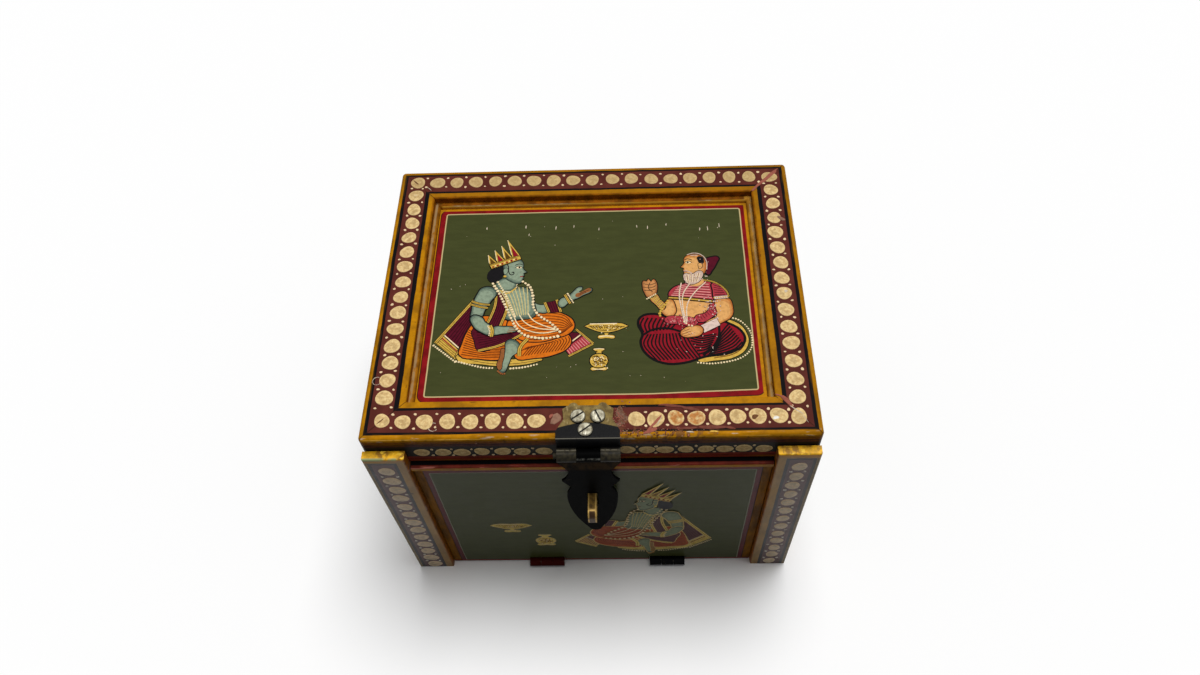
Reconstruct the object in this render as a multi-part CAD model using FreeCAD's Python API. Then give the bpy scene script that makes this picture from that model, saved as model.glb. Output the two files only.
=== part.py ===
"""Painted trinket box: a lidded wooden box with a drop front, an iron hasp and a brass staple.

Millimetres. +X is to the right seen from the front, +Y to the back, +Z up.
The origin is on the table, under the middle of the lid.
"""
import FreeCAD, Part
import os
from math import sqrt
from FreeCAD import Vector

# Lid
lid_width = 200.0
lid_depth = 158.5
lid_height = 20.0
frame_width = 19.0
frame_thickness = 6.0
frame_edge_round = 1.8
frame_inner_round = 0.8
corner_round = 2.0
panel_thickness = 4.0
rim_thickness = 9.0
cove_size = 2.4
cove_round = 1.8

# Carcass
seam_height = 120.0
wall_thickness = 9.0
bottom_thickness = 8.0
post_width = 18.8
post_thickness = 4.3
post_rise = 10.6
post_round = 0.8
stile_lap = 6.0
stile_lip_thickness = 6.0
lid_front_gap = 0.4

# Brads that hold the posts
brad_radius = 0.7
brad_length = 15.0
brad_head_radius = 1.3
brad_head_height = 0.6
brad_edge = 4.5
brads_per_post = 3
brad_end_margin = 15.0

# Drop front
flap_thickness = 7.0
flap_recess = 2.9
flap_side_gap = 0.5
flap_top_gap = 0.8
flap_bottom_gap = 0.8
flap_stop_gap = 0.4
rail_height = 3.0
rail_recess = 1.45
rail_round = 0.9

# Hasp
hasp_offset = -0.5
hasp_width = 27.6
hasp_thickness = 1.2
hasp_plate_length = 17.7
hasp_plate_shoulder = 4.0
hasp_plate_waist_width = 21.2
hasp_plate_waist_back = 9.5
hasp_plate_crown_width = 22.2
hasp_plate_crown_back = 14.6
hasp_plate_top_width = 17.4
hasp_lobe_height = 1.4
hasp_lobe_radius = 2.1
hasp_lobe_spacing = 12.8
hasp_barrel_radius = 2.9
hasp_pin_radius = 1.3
hasp_pin_stub = 1.6
hasp_middle_knuckle = 10.2
hasp_axis_drop = 9.0
hasp_axis_forward = 4.05
hasp_leaf_gap = 1.45
leaf_length = 78.0
leaf_waist_width = 19.2
leaf_waist_drop = 11.0
leaf_ear_width = 26.2
leaf_ear_drop = 21.4
leaf_notch_width = 18.2
leaf_notch_drop = 28.2
leaf_heart_width = 23.4
leaf_heart_drop = 41.0
leaf_tip_radius = 3.0
leaf_hollow_width = 20.8
leaf_hollow_drop = 17.2
leaf_swell_width = 22.0
leaf_swell_drop = 33.0
leaf_flank_width = 18.0
leaf_flank_drop = 59.5
hasp_bend_round = 1.1

# Staple
staple_width = 3.9
staple_strip = 1.3
staple_height = 9.6
staple_reach = 11.4
staple_drop = 35.0
staple_nose_round = 3.2
staple_clinch = 3.5
slot_side_gap = 0.7
slot_above = 0.6
slot_below = 2.4

# Hinges
leaf_thickness = 1.0
leaf_half_gap = 0.15
knuckle_gap = 0.2
turning_gap = 0.35
pin_clearance = 0.05
lid_hinge_inset = 45.0
lid_hinge_length = 26.0
lid_hinge_radius = 2.3
lid_hinge_pin_radius = 1.0
lid_hinge_set_back = 2.7
lid_hinge_leaf_reach = 8.0
flap_hinge_spacing = 65.5
flap_hinge_offset = 3.4
flap_hinge_length = 18.8
flap_hinge_radius = 2.35
flap_hinge_pin_radius = 1.0
flap_hinge_axis_height = 2.8
flap_hinge_forward = 1.75
flap_hinge_edge_margin = 0.5
flap_hinge_leaf_under = 14.0
flap_hinge_notch_gap = 0.3

# Screws
hinge_screw_head_radius = 1.9
hinge_screw_shank_radius = 0.9
hinge_screw_length = 9.0
hinge_screw_spacing = 9.0
flap_screw_length = 6.0
hasp_screw_head_radius = 3.3
hasp_screw_head_height = 1.3
hasp_screw_head_round = 0.8
hasp_screw_shank_radius = 1.5
hasp_screw_length = 9.5
hasp_screw_slot_width = 0.8
hasp_screw_slot_depth = 0.6
hasp_screw_pair_spacing = 8.6
hasp_screw_pair_back = 10.7
hasp_screw_low_back = 4.2
hasp_screw_low_side = -1.0

# How far a cutting solid runs past what it cuts
overshoot = 1.0

# Planes worked out from the sizes above
half_width = lid_width / 2
front = -lid_depth / 2
back = lid_depth / 2
lid_top = seam_height + lid_height
frame_under = lid_top - frame_thickness
panel_under = frame_under - panel_thickness
carcass_front = front - lid_front_gap
post_front = carcass_front - post_thickness
post_inner = half_width - post_width
wall_inner = half_width - wall_thickness
flap_front = post_front + flap_recess
flap_back = flap_front + flap_thickness
flap_half = post_inner - flap_side_gap
flap_top = seam_height - flap_top_gap
stop_plane = flap_back + flap_stop_gap
rail_front = post_front + rail_recess
leaf_back = rail_front - hasp_leaf_gap
leaf_front = leaf_back - hasp_thickness
hasp_axis = Vector(hasp_offset, front - hasp_axis_forward, lid_top - hasp_axis_drop)
staple_top = hasp_axis.z - staple_drop
staple_nose = leaf_front - staple_reach
lid_axis = Vector(0, back + lid_hinge_set_back, seam_height)
flap_axis = Vector(0, flap_front - flap_hinge_forward, flap_hinge_axis_height)


def block(low, high):
    """A box between two opposite corners."""
    size = [high[i] - low[i] for i in range(3)]
    return Part.makeBox(size[0], size[1], size[2], Vector(*low))


def rod(radius, length, start, direction):
    """A round bar from a point along a direction."""
    return Part.makeCylinder(radius, length, start, direction)


def prism(points, thickness_vector):
    """A flat outline of straight edges, pushed out to a solid."""
    wire = Part.makePolygon(points + [points[0]])
    return Part.Face(wire).extrude(thickness_vector)


def cut_all(solid, tools):
    """A solid less every tool, as one clean solid."""
    for tool in tools:
        solid = solid.cut(tool)
    return solid.removeSplitter()


def fuse_all(solids):
    """Several touching solids joined into one."""
    whole = solids[0]
    for solid in solids[1:]:
        whole = whole.fuse(solid)
    return whole.removeSplitter()


def edges_where(shape, test):
    """Edges whose two ends and middle all pass a test on a point."""
    chosen = []
    for edge in shape.Edges:
        middle = edge.valueAt((edge.FirstParameter + edge.LastParameter) / 2)
        points = [vertex.Point for vertex in edge.Vertexes] + [middle]
        if all(test(point) for point in points):
            chosen.append(edge)
    return chosen


def close(a, b):
    """Whether two lengths agree to a thousandth of a millimetre."""
    return abs(a - b) < 0.001


def mitre_quarters():
    """Four prisms that part the lid's border along its mitres: front, back, left and right."""
    inset = frame_width + cove_size + overshoot
    rise = Vector(0, 0, lid_top + 2 * overshoot)
    inner_x = half_width - inset
    inner_y = back - inset
    corners = {
        "front": [(-half_width, front), (half_width, front), (inner_x, -inner_y), (-inner_x, -inner_y)],
        "back": [(-half_width, back), (half_width, back), (inner_x, inner_y), (-inner_x, inner_y)],
        "left": [(-half_width, front), (-inner_x, -inner_y), (-inner_x, inner_y), (-half_width, back)],
        "right": [(half_width, front), (inner_x, -inner_y), (inner_x, inner_y), (half_width, back)],
    }
    quarters = {}
    for name, points in corners.items():
        quarters[name] = prism([Vector(x, y, -overshoot) for x, y in points], rise)
    return quarters


def border_ring(outer_inset, inner_inset, low, high):
    """A square ring that follows the lid's edge between two insets."""
    outer = block((-half_width + outer_inset, front + outer_inset, low),
                  (half_width - outer_inset, back - outer_inset, high))
    inner = block((-half_width + inner_inset, front + inner_inset, low - overshoot),
                  (half_width - inner_inset, back - inner_inset, high + overshoot))
    return outer, inner


def frame_ring():
    """The lid's border before it is parted at the mitres, with its edges eased."""
    outer, inner = border_ring(0, frame_width, frame_under, lid_top)
    corners = edges_where(outer, lambda p: close(abs(p.x), half_width) and close(abs(p.y), back))
    outer = outer.makeFillet(corner_round, corners)
    rim = edges_where(outer, lambda p: close(p.z, lid_top))
    outer = outer.makeFillet(frame_edge_round, rim)
    ring = outer.cut(inner)
    inner_x = half_width - frame_width
    inner_y = back - frame_width
    lip = edges_where(ring, lambda p: close(p.z, lid_top) and abs(p.x) < inner_x + 0.001
                      and abs(p.y) < inner_y + 0.001)
    return ring.makeFillet(frame_inner_round, lip)


def cove_ring():
    """The small moulding round the sunk panel, before it is parted at the mitres."""
    outer, inner = border_ring(frame_width, frame_width + cove_size, frame_under, frame_under + cove_size)
    ring = outer.cut(inner)
    inner_x = half_width - frame_width - cove_size
    inner_y = back - frame_width - cove_size
    lip = edges_where(ring, lambda p: close(p.z, frame_under + cove_size) and abs(p.x) < inner_x + 0.001
                      and abs(p.y) < inner_y + 0.001)
    return ring.makeFillet(cove_round, lip)


def lid_panel():
    """The sunk panel, glued up under the border between the rim boards."""
    inset = rim_thickness
    return block((-half_width + inset, front + inset, panel_under),
                 (half_width - inset, back - inset, frame_under))


def lid_rims():
    """The four boards of the lid's edge, below the border."""
    rims = {}
    for name, y in (("front", front), ("back", back - rim_thickness)):
        board = block((-half_width, y, seam_height), (half_width, y + rim_thickness, frame_under))
        outer_y = front if name == "front" else back
        corners = edges_where(board, lambda p: close(abs(p.x), half_width) and close(p.y, outer_y))
        rims[name] = board.makeFillet(corner_round, corners)
    for name, x in (("left", -half_width), ("right", half_width - rim_thickness)):
        rims[name] = block((x, front + rim_thickness, seam_height),
                           (x + rim_thickness, back - rim_thickness, frame_under))
    return rims


def side_wall(side):
    """A side board; side is -1 for the left and 1 for the right."""
    x = sorted((side * wall_inner, side * half_width))
    board = block((x[0], carcass_front, 0), (x[1], back, seam_height))
    corner = edges_where(board, lambda p: close(p.x, side * half_width) and close(p.y, back))
    return board.makeFillet(corner_round, corner)


def back_wall():
    """The back board, between the side boards."""
    return block((-wall_inner, back - wall_thickness, 0), (wall_inner, back, seam_height))


def bottom_board():
    """The bottom, between the walls and behind the drop front."""
    return block((-wall_inner, stop_plane, 0), (wall_inner, back - wall_thickness, bottom_thickness))


def front_stile(side):
    """The rebated strip behind a post that the drop front closes on."""
    outer = side * wall_inner
    inner = side * post_inner
    lip = side * (post_inner - stile_lap)
    x = sorted((outer, inner))
    strip = block((x[0], carcass_front, 0), (x[1], stop_plane, seam_height))
    x = sorted((outer, lip))
    stop = block((x[0], stop_plane, bottom_thickness), (x[1], stop_plane + stile_lip_thickness, seam_height))
    return fuse_all([strip, stop])


def corner_post(side):
    """A dotted corner strip; it rises in front of the lid's edge."""
    x = sorted((side * post_inner, side * half_width))
    top = seam_height + post_rise
    strip = block((x[0], post_front, 0), (x[1], carcass_front, top))
    eased = edges_where(strip, lambda p: close(p.y, post_front) and p.z > 0.001)
    sides = edges_where(strip, lambda p: close(p.y, post_front) and abs(p.x - x[0]) < 0.001)
    sides += edges_where(strip, lambda p: close(p.y, post_front) and abs(p.x - x[1]) < 0.001)
    return strip.makeFillet(post_round, eased + sides)


def brads():
    """Headed nails through the posts into the side boards."""
    nails = []
    step = (seam_height - 2 * brad_end_margin) / (brads_per_post - 1)
    into = Vector(0, 1, 0)
    for side in (-1, 1):
        for number in range(brads_per_post):
            start = Vector(side * (half_width - brad_edge), post_front, brad_end_margin + number * step)
            head = rod(brad_head_radius, brad_head_height, start, into)
            nails.append(fuse_all([head, rod(brad_radius, brad_length, start, into)]))
    return nails


def flat_screw(start, direction, length):
    """A countersunk hinge screw whose head lies flush in a leaf."""
    head = Part.makeCone(hinge_screw_head_radius, hinge_screw_shank_radius, leaf_thickness, start, direction)
    return fuse_all([head, rod(hinge_screw_shank_radius, length, start, direction)])


def slotted_screw(x, y, slot_turn):
    """A round-headed screw with a slot, standing on the hasp's plate."""
    seat = lid_top + hasp_thickness
    foot = Vector(x, y, seat)
    head = rod(hasp_screw_head_radius, hasp_screw_head_height, foot, Vector(0, 0, 1))
    rim = edges_where(head, lambda p: close(p.z, seat + hasp_screw_head_height))
    head = head.makeFillet(hasp_screw_head_round, rim)
    shank = rod(hasp_screw_shank_radius, hasp_screw_length, foot, Vector(0, 0, -1))
    reach = hasp_screw_head_radius + overshoot
    half = hasp_screw_slot_width / 2
    floor = seat + hasp_screw_head_height - hasp_screw_slot_depth
    slot = block((x - reach, y - half, floor), (x + reach, y + half, floor + 2 * hasp_screw_slot_depth))
    slot.rotate(foot, Vector(0, 0, 1), slot_turn)
    return fuse_all([head, shank]).cut(slot)


def hasp_screws():
    """Two screws side by side behind one in the middle."""
    pair = hasp_screw_pair_spacing / 2
    rear = front + hasp_screw_pair_back - hasp_thickness
    near = front + hasp_screw_low_back - hasp_thickness
    return [slotted_screw(hasp_offset - pair, rear, 35),
            slotted_screw(hasp_offset + pair, rear, 115),
            slotted_screw(hasp_offset + hasp_screw_low_side, near, 38)]


def knuckle(axis_point, x_low, x_high, radius):
    """A hinge knuckle round an axis along X."""
    return rod(radius, x_high - x_low, Vector(x_low, axis_point.y, axis_point.z), Vector(1, 0, 0))


def hasp_lid_plate(screws):
    """The plate screwed on the lid, bent down over its front edge, with the two outer knuckles."""
    x = hasp_axis.x
    half = hasp_width / 2
    bend = front - hasp_thickness
    tip = bend + hasp_plate_length
    profile = [(hasp_width, bend), (hasp_width, bend + hasp_plate_shoulder),
               (hasp_plate_waist_width, bend + hasp_plate_waist_back),
               (hasp_plate_crown_width, bend + hasp_plate_crown_back),
               (hasp_plate_top_width, tip - hasp_lobe_height)]
    right = [Vector(x + width / 2, y, lid_top) for width, y in profile]
    left = [Vector(x - width / 2, y, lid_top) for width, y in reversed(profile)]
    flat = prism(right + left, Vector(0, 0, hasp_thickness))
    lobes = []
    for side in (-1, 1):
        centre = Vector(x + side * hasp_lobe_spacing / 2, tip - hasp_lobe_radius, lid_top)
        lobes.append(rod(hasp_lobe_radius, hasp_thickness, centre, Vector(0, 0, 1)))
    middle = hasp_middle_knuckle / 2
    knuckle_top = hasp_axis.z + hasp_barrel_radius
    apron = block((x - half, bend, knuckle_top + turning_gap), (x + half, front, lid_top + hasp_thickness))
    barrels = []
    for low, high in ((-half, -middle - knuckle_gap), (middle + knuckle_gap, half)):
        barrels.append(knuckle(hasp_axis, x + low, x + high, hasp_barrel_radius))
        web = knuckle_top - hasp_thickness
        barrels.append(block((x + low, hasp_axis.y, web), (x + high, front, knuckle_top)))
        barrels.append(block((x + low, bend, web), (x + high, front, knuckle_top + hasp_thickness)))
    plate = fuse_all([flat] + lobes + [apron] + barrels)
    fold = edges_where(plate, lambda p: close(p.y, bend) and close(p.z, lid_top + hasp_thickness))
    plate = plate.makeFillet(hasp_bend_round, fold)
    bore = knuckle(hasp_axis, x - half - overshoot, x + half + overshoot, hasp_pin_radius)
    return cut_all(plate, [bore] + screws)


def hasp_pin():
    """The pin through the hasp's knuckles, a tight fit in the outer ones, its end proud on the left."""
    half = hasp_width / 2
    return knuckle(hasp_axis, hasp_axis.x - half - hasp_pin_stub, hasp_axis.x + half, hasp_pin_radius)


def leaf_outline():
    """Right half of the leaf's outline below its knuckle, from the shoulder down to the tip."""
    def at(width, drop):
        return Vector(hasp_axis.x + width / 2, leaf_back, hasp_axis.z - drop)

    shoulder = at(hasp_width, hasp_barrel_radius + turning_gap)
    waist = at(leaf_waist_width, leaf_waist_drop)
    hollow = at(leaf_hollow_width, leaf_hollow_drop)
    ear = at(leaf_ear_width, leaf_ear_drop)
    notch = at(leaf_notch_width, leaf_notch_drop)
    swell = at(leaf_swell_width, leaf_swell_drop)
    heart = at(leaf_heart_width, leaf_heart_drop)
    flank = at(leaf_flank_width, leaf_flank_drop)
    tip_centre = leaf_length - leaf_tip_radius
    tip_side = at(2 * leaf_tip_radius, tip_centre)
    rounding = at(2 * leaf_tip_radius * sqrt(0.5), tip_centre + leaf_tip_radius * sqrt(0.5))
    tip = at(0, leaf_length)
    return [
        Part.LineSegment(shoulder, waist), Part.Arc(waist, hollow, ear), Part.LineSegment(ear, notch),
        Part.Arc(notch, swell, heart), Part.Arc(heart, flank, tip_side), Part.Arc(tip_side, rounding, tip),
    ]


def hasp_leaf():
    """The swinging leaf: middle knuckle, waist, two ears and a heart with a slot for the staple."""
    x = hasp_axis.x
    right = [curve.toShape() for curve in leaf_outline()]
    left = [edge.mirror(Vector(x, 0, 0), Vector(1, 0, 0)) for edge in right]
    half = hasp_width / 2
    top = hasp_axis.z - hasp_barrel_radius - turning_gap
    lintel = Part.makeLine(Vector(x - half, leaf_back, top), Vector(x + half, leaf_back, top))
    wire = Part.Wire(Part.__sortEdges__([lintel] + right + left))
    plate = Part.Face(wire).extrude(Vector(0, -hasp_thickness, 0))
    middle = hasp_middle_knuckle / 2
    neck = block((x - middle, leaf_front, top - overshoot), (x + middle, leaf_back, hasp_axis.z))
    leaf = fuse_all([plate, neck, knuckle(hasp_axis, x - middle, x + middle, hasp_barrel_radius)])
    slot_half = staple_width / 2 + slot_side_gap
    slot = block((x - slot_half, leaf_front - overshoot, staple_top - staple_height - slot_below),
                 (x + slot_half, leaf_back + overshoot, staple_top + slot_above))
    bore = knuckle(hasp_axis, x - half, x + half, hasp_pin_radius + pin_clearance)
    return cut_all(leaf, [slot, bore])


def staple():
    """A brass strip bent to a U, its legs through the drop front and clinched behind it."""
    x = hasp_axis.x
    half = staple_width / 2
    low = staple_top - staple_height
    clinch_back = flap_back + staple_strip
    outer = block((x - half, staple_nose, low), (x + half, clinch_back, staple_top))
    nose = edges_where(outer, lambda p: close(p.y, staple_nose)
                       and (close(p.z, low) or close(p.z, staple_top)))
    outer = outer.makeFillet(staple_nose_round, nose)
    inner = block((x - half - overshoot, staple_nose + staple_strip, low + staple_strip),
                  (x + half + overshoot, clinch_back + overshoot, staple_top - staple_strip))
    inner_nose = edges_where(inner, lambda p: close(p.y, staple_nose + staple_strip)
                             and (close(p.z, low + staple_strip) or close(p.z, staple_top - staple_strip)))
    inner = inner.makeFillet(staple_nose_round - staple_strip, inner_nose)
    strap = outer.cut(inner)
    upper = block((x - half, flap_back, staple_top - staple_strip),
                  (x + half, clinch_back, staple_top + staple_clinch))
    lower = block((x - half, flap_back, low - staple_clinch), (x + half, clinch_back, low + staple_strip))
    return fuse_all([strap, upper, lower])


def flap_top_rail():
    """The red-topped strip along the drop front's upper edge."""
    rail = block((-flap_half, rail_front, flap_top - rail_height), (flap_half, flap_front, flap_top))
    nosing = edges_where(rail, lambda p: close(p.y, rail_front) and close(p.z, flap_top))
    return rail.makeFillet(rail_round, nosing)


def flap_panel():
    """The painted front board that drops open."""
    return block((-flap_half, flap_front, flap_bottom_gap), (flap_half, flap_back, flap_top))


def hinge_leaf(centre_x, axis, length, radius, pin_bore, far_y, side, outer_knuckles):
    """One leaf of a butt hinge shut flat: side is 1 for the upper leaf, -1 for the lower one."""
    z = sorted((axis.z + side * leaf_half_gap, axis.z + side * (leaf_half_gap + leaf_thickness)))
    half = length / 2
    third = length / 6
    toward = 1 if far_y > axis.y else -1
    near = axis.y + toward * (radius + turning_gap)
    y = sorted((near, far_y))
    solids = [block((centre_x - half, y[0], z[0]), (centre_x + half, y[1], z[1]))]
    spans = [(-third, third)]
    if outer_knuckles:
        spans = [(-half, -third - knuckle_gap), (third + knuckle_gap, half)]
    tab = sorted((axis.y, near + toward * leaf_thickness))
    for low, high in spans:
        solids.append(knuckle(axis, centre_x + low, centre_x + high, radius))
        solids.append(block((centre_x + low, tab[0], z[0]), (centre_x + high, tab[1], z[1])))
    bore = knuckle(axis, centre_x - half - overshoot, centre_x + half + overshoot, pin_bore)
    return cut_all(fuse_all(solids), [bore])


def screw_pair(centre_x, y, face_z, up, length):
    """Two countersunk screws through a hinge leaf, driven up or down from its open face."""
    half = hinge_screw_spacing / 2
    starts = [Vector(centre_x + side * half, y, face_z) for side in (-1, 1)]
    return [flat_screw(start, Vector(0, 0, up), length) for start in starts]


def lid_hinges():
    """The two butt hinges at the back: lower leaves, upper leaves, their screws and the pins."""
    lower, upper, lower_screws, upper_screws, pins = {}, {}, [], [], []
    far = back - lid_hinge_leaf_reach
    screw_y = back - lid_hinge_leaf_reach / 2
    bore = lid_hinge_pin_radius + pin_clearance
    for name, side in (("left", -1), ("right", 1)):
        x = side * (half_width - lid_hinge_inset)
        down = screw_pair(x, screw_y, seam_height - leaf_half_gap, -1, hinge_screw_length)
        rise = screw_pair(x, screw_y, seam_height + leaf_half_gap, 1, hinge_screw_length)
        leaf = hinge_leaf(x, lid_axis, lid_hinge_length, lid_hinge_radius, bore, far, -1, True)
        lower[name] = cut_all(leaf, down)
        leaf = hinge_leaf(x, lid_axis, lid_hinge_length, lid_hinge_radius, lid_hinge_pin_radius,
                          far, 1, False)
        upper[name] = cut_all(leaf, rise)
        lower_screws += down
        upper_screws += rise
        half = lid_hinge_length / 2
        pins.append(knuckle(lid_axis, x - half, x + half, lid_hinge_pin_radius))
    return lower, upper, lower_screws, upper_screws, pins


def flap_hinge_places():
    """Middle of each of the drop front's hinges along X, by name."""
    half = flap_hinge_spacing / 2
    return {"left": flap_hinge_offset - half, "right": flap_hinge_offset + half}


def flap_hinges():
    """The two butt hinges under the drop front: fixed leaves, moving leaves, their screws and the pins."""
    fixed, moving, fixed_screws, moving_screws, pins = {}, {}, [], [], []
    under_end = stop_plane + flap_hinge_leaf_under
    flap_end = flap_back - flap_hinge_edge_margin
    bore = flap_hinge_pin_radius + pin_clearance
    fixed_y = (stop_plane + under_end) / 2
    moving_y = (flap_axis.y + flap_hinge_radius + turning_gap + flap_end) / 2
    fixed_face = flap_axis.z - leaf_half_gap - leaf_thickness
    moving_face = flap_axis.z + leaf_half_gap
    for name, x in flap_hinge_places().items():
        into_board = screw_pair(x, fixed_y, fixed_face, 1, flap_screw_length)
        into_flap = screw_pair(x, moving_y, moving_face, 1, hinge_screw_length)
        leaf = hinge_leaf(x, flap_axis, flap_hinge_length, flap_hinge_radius, bore, under_end, -1, True)
        fixed[name] = cut_all(leaf, into_board)
        leaf = hinge_leaf(x, flap_axis, flap_hinge_length, flap_hinge_radius, flap_hinge_pin_radius,
                          flap_end, 1, False)
        moving[name] = cut_all(leaf, into_flap)
        fixed_screws += into_board
        moving_screws += into_flap
        half = flap_hinge_length / 2
        pins.append(knuckle(flap_axis, x - half, x + half, flap_hinge_pin_radius))
    return fixed, moving, fixed_screws, moving_screws, pins


def lid_hinge_housings(low, high):
    """Shallow sinkings that let a pair of hinge leaves into an edge between two heights."""
    half = lid_hinge_length / 2
    middle = half_width - lid_hinge_inset
    return [block((side * middle - half, back - lid_hinge_leaf_reach, low),
                  (side * middle + half, back + overshoot, high)) for side in (-1, 1)]


def flap_hinge_housings(front_y, back_y, low, high, gap):
    """Notches round the drop front's hinges between two depths and two heights."""
    half = flap_hinge_length / 2 + gap
    return [block((x - half, front_y, low), (x + half, back_y, high)) for x in flap_hinge_places().values()]


def flap_knuckle_reliefs():
    """Round hollows that keep the drop front clear of its hinge knuckles."""
    half = flap_hinge_length / 2 + flap_hinge_notch_gap
    radius = flap_hinge_radius + turning_gap
    return [knuckle(flap_axis, x - half, x + half, radius) for x in flap_hinge_places().values()]


def build():
    """Every sub-part by its node name."""
    nodes = {}
    screws = hasp_screws()
    nails = brads()
    lower, upper, lower_screws, upper_screws, lid_pins = lid_hinges()
    fixed, moving, fixed_screws, moving_screws, flap_pins = flap_hinges()

    quarters = mitre_quarters()
    border = frame_ring()
    cove = cove_ring()
    rims = lid_rims()
    for name, quarter in quarters.items():
        nodes["lid_frame_" + name] = cut_all(border.common(quarter), screws)
        nodes["lid_cove_" + name] = cove.common(quarter)
        nodes["lid_rim_" + name] = cut_all(rims[name], screws) if name == "front" else rims[name]
    leaf_seat = leaf_half_gap + leaf_thickness
    sinkings = lid_hinge_housings(seam_height - overshoot, seam_height + leaf_seat)
    nodes["lid_rim_back"] = cut_all(nodes["lid_rim_back"], sinkings + upper_screws)
    nodes["lid_panel"] = cut_all(lid_panel(), screws)

    sinkings = lid_hinge_housings(seam_height - leaf_seat, seam_height + overshoot)
    nodes["back_wall"] = cut_all(back_wall(), sinkings + lower_screws)
    sinkings = flap_hinge_housings(stop_plane - overshoot, stop_plane + flap_hinge_leaf_under, -overshoot,
                                   flap_axis.z - leaf_half_gap, 0)
    nodes["bottom_board"] = cut_all(bottom_board(), sinkings + fixed_screws)
    for name, side in (("left", -1), ("right", 1)):
        nodes[name + "_wall"] = cut_all(side_wall(side), nails)
        nodes[name + "_front_stile"] = front_stile(side)
        nodes[name + "_post"] = cut_all(corner_post(side), nails)
        nodes[name + "_lid_hinge_lower_leaf"] = lower[name]
        nodes[name + "_lid_hinge_upper_leaf"] = upper[name]
        nodes[name + "_flap_hinge_fixed_leaf"] = fixed[name]
        nodes[name + "_flap_hinge_moving_leaf"] = moving[name]

    nodes["staple"] = staple()
    notches = flap_hinge_housings(flap_front - overshoot, flap_back + overshoot, -overshoot,
                                  flap_axis.z + leaf_seat, flap_hinge_notch_gap)
    nodes["flap_panel"] = cut_all(flap_panel(), notches + flap_knuckle_reliefs() + moving_screws
                                  + [nodes["staple"]])
    nodes["flap_top_rail"] = flap_top_rail()
    nodes["hasp_lid_plate"] = hasp_lid_plate(screws)
    nodes["hasp_pin"] = hasp_pin()
    nodes["hasp_leaf"] = hasp_leaf()

    nodes["hasp_screws"] = Part.makeCompound(screws)
    nodes["post_brads"] = Part.makeCompound(nails)
    nodes["lid_hinge_lower_screws"] = Part.makeCompound(lower_screws)
    nodes["lid_hinge_upper_screws"] = Part.makeCompound(upper_screws)
    nodes["lid_hinge_pins"] = Part.makeCompound(lid_pins)
    nodes["flap_hinge_fixed_screws"] = Part.makeCompound(fixed_screws)
    nodes["flap_hinge_moving_screws"] = Part.makeCompound(moving_screws)
    nodes["flap_hinge_pins"] = Part.makeCompound(flap_pins)
    return nodes


os.makedirs("parts", exist_ok=True)
for node_name, node_shape in build().items():
    node_shape.exportStep("parts/" + node_name + ".step")
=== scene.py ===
"""Painted trinket box: paint, varnish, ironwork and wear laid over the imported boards, on a pale stage."""
import math
import random

import bpy
from bpy.props import FloatProperty, FloatVectorProperty, PointerProperty
from mathutils import Euler, Matrix, Vector


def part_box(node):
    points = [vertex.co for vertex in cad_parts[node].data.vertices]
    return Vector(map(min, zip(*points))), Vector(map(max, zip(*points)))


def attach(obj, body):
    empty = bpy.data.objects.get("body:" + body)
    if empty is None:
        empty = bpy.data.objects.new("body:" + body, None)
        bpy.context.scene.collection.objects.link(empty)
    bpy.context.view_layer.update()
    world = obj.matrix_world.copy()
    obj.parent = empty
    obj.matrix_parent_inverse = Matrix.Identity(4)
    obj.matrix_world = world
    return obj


bl_info = {
    "name": "Painted trinket box",
    "version": (1, 0, 0),
    "blender": (4, 5, 0),
    "location": "View3D > Sidebar > Painted box",
    "description": "Paints a wooden box with dotted borders, seated figures, ironwork and wear",
    "category": "Object",
}

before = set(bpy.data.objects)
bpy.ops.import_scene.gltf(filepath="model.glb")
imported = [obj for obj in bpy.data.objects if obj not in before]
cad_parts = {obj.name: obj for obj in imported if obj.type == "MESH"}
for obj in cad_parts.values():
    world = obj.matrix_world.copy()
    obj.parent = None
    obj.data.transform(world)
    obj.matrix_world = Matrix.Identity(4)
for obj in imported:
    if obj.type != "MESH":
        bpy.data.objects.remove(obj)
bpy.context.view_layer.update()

MM = 0.001
X, Y, Z = range(3)
# Each layer of brushwork lies this far above the one before.
LAYER = 0.004 * MM
# Brushwork is drawn in millimetres, and so is the width of its outlines.
OUTLINE = 0.45
BEAD_RISE = 0.12 * MM
FLAKE_RISE = 0.1 * MM
# Folds in a piece of paint that are sharper than this stay sharp.
CREASE = math.radians(50)
# What a mesh carries at its points: a stroke's colour, a disc's wear, and how near its rim a point lies.
PAINT = "paint"
WEAR = "wear"
RIM = "rim"


def plane_of(node, axis, high):
    """Where a packed board's lowest or highest face lies along an axis."""
    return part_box(node)[1 if high else 0][axis]


LID_TOP = plane_of("lid_frame_front", Z, True)
LID_FRONT = plane_of("lid_frame_front", Y, False)
LID_BACK = plane_of("lid_frame_back", Y, True)
LID_SIDE = plane_of("lid_frame_right", X, True)
FRAME_INSIDE = LID_SIDE - plane_of("lid_frame_right", X, False)
PANEL_TOP = plane_of("lid_panel", Z, True)
SEAM = plane_of("lid_rim_front", Z, False)
POST_FRONT = plane_of("left_post", Y, False)
POST_TOP = plane_of("left_post", Z, True)
POST_INSIDE = plane_of("right_post", X, False)
FLAP_FRONT = plane_of("flap_panel", Y, False)
FLAP_TOP = plane_of("flap_panel", Z, True)
FLAP_SIDE = plane_of("flap_panel", X, True)
RAIL_FRONT = plane_of("flap_top_rail", Y, False)
RAIL_FOOT = plane_of("flap_top_rail", Z, False)
HASP_MIDDLE = (plane_of("hasp_lid_plate", X, False) + plane_of("hasp_lid_plate", X, True)) / 2
HASP_AXIS = (plane_of("hasp_pin", Z, False) + plane_of("hasp_pin", Z, True)) / 2
STAPLE_NOSE = plane_of("staple", Y, False)
STAPLE_FOOT = plane_of("staple", Z, False)
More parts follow.
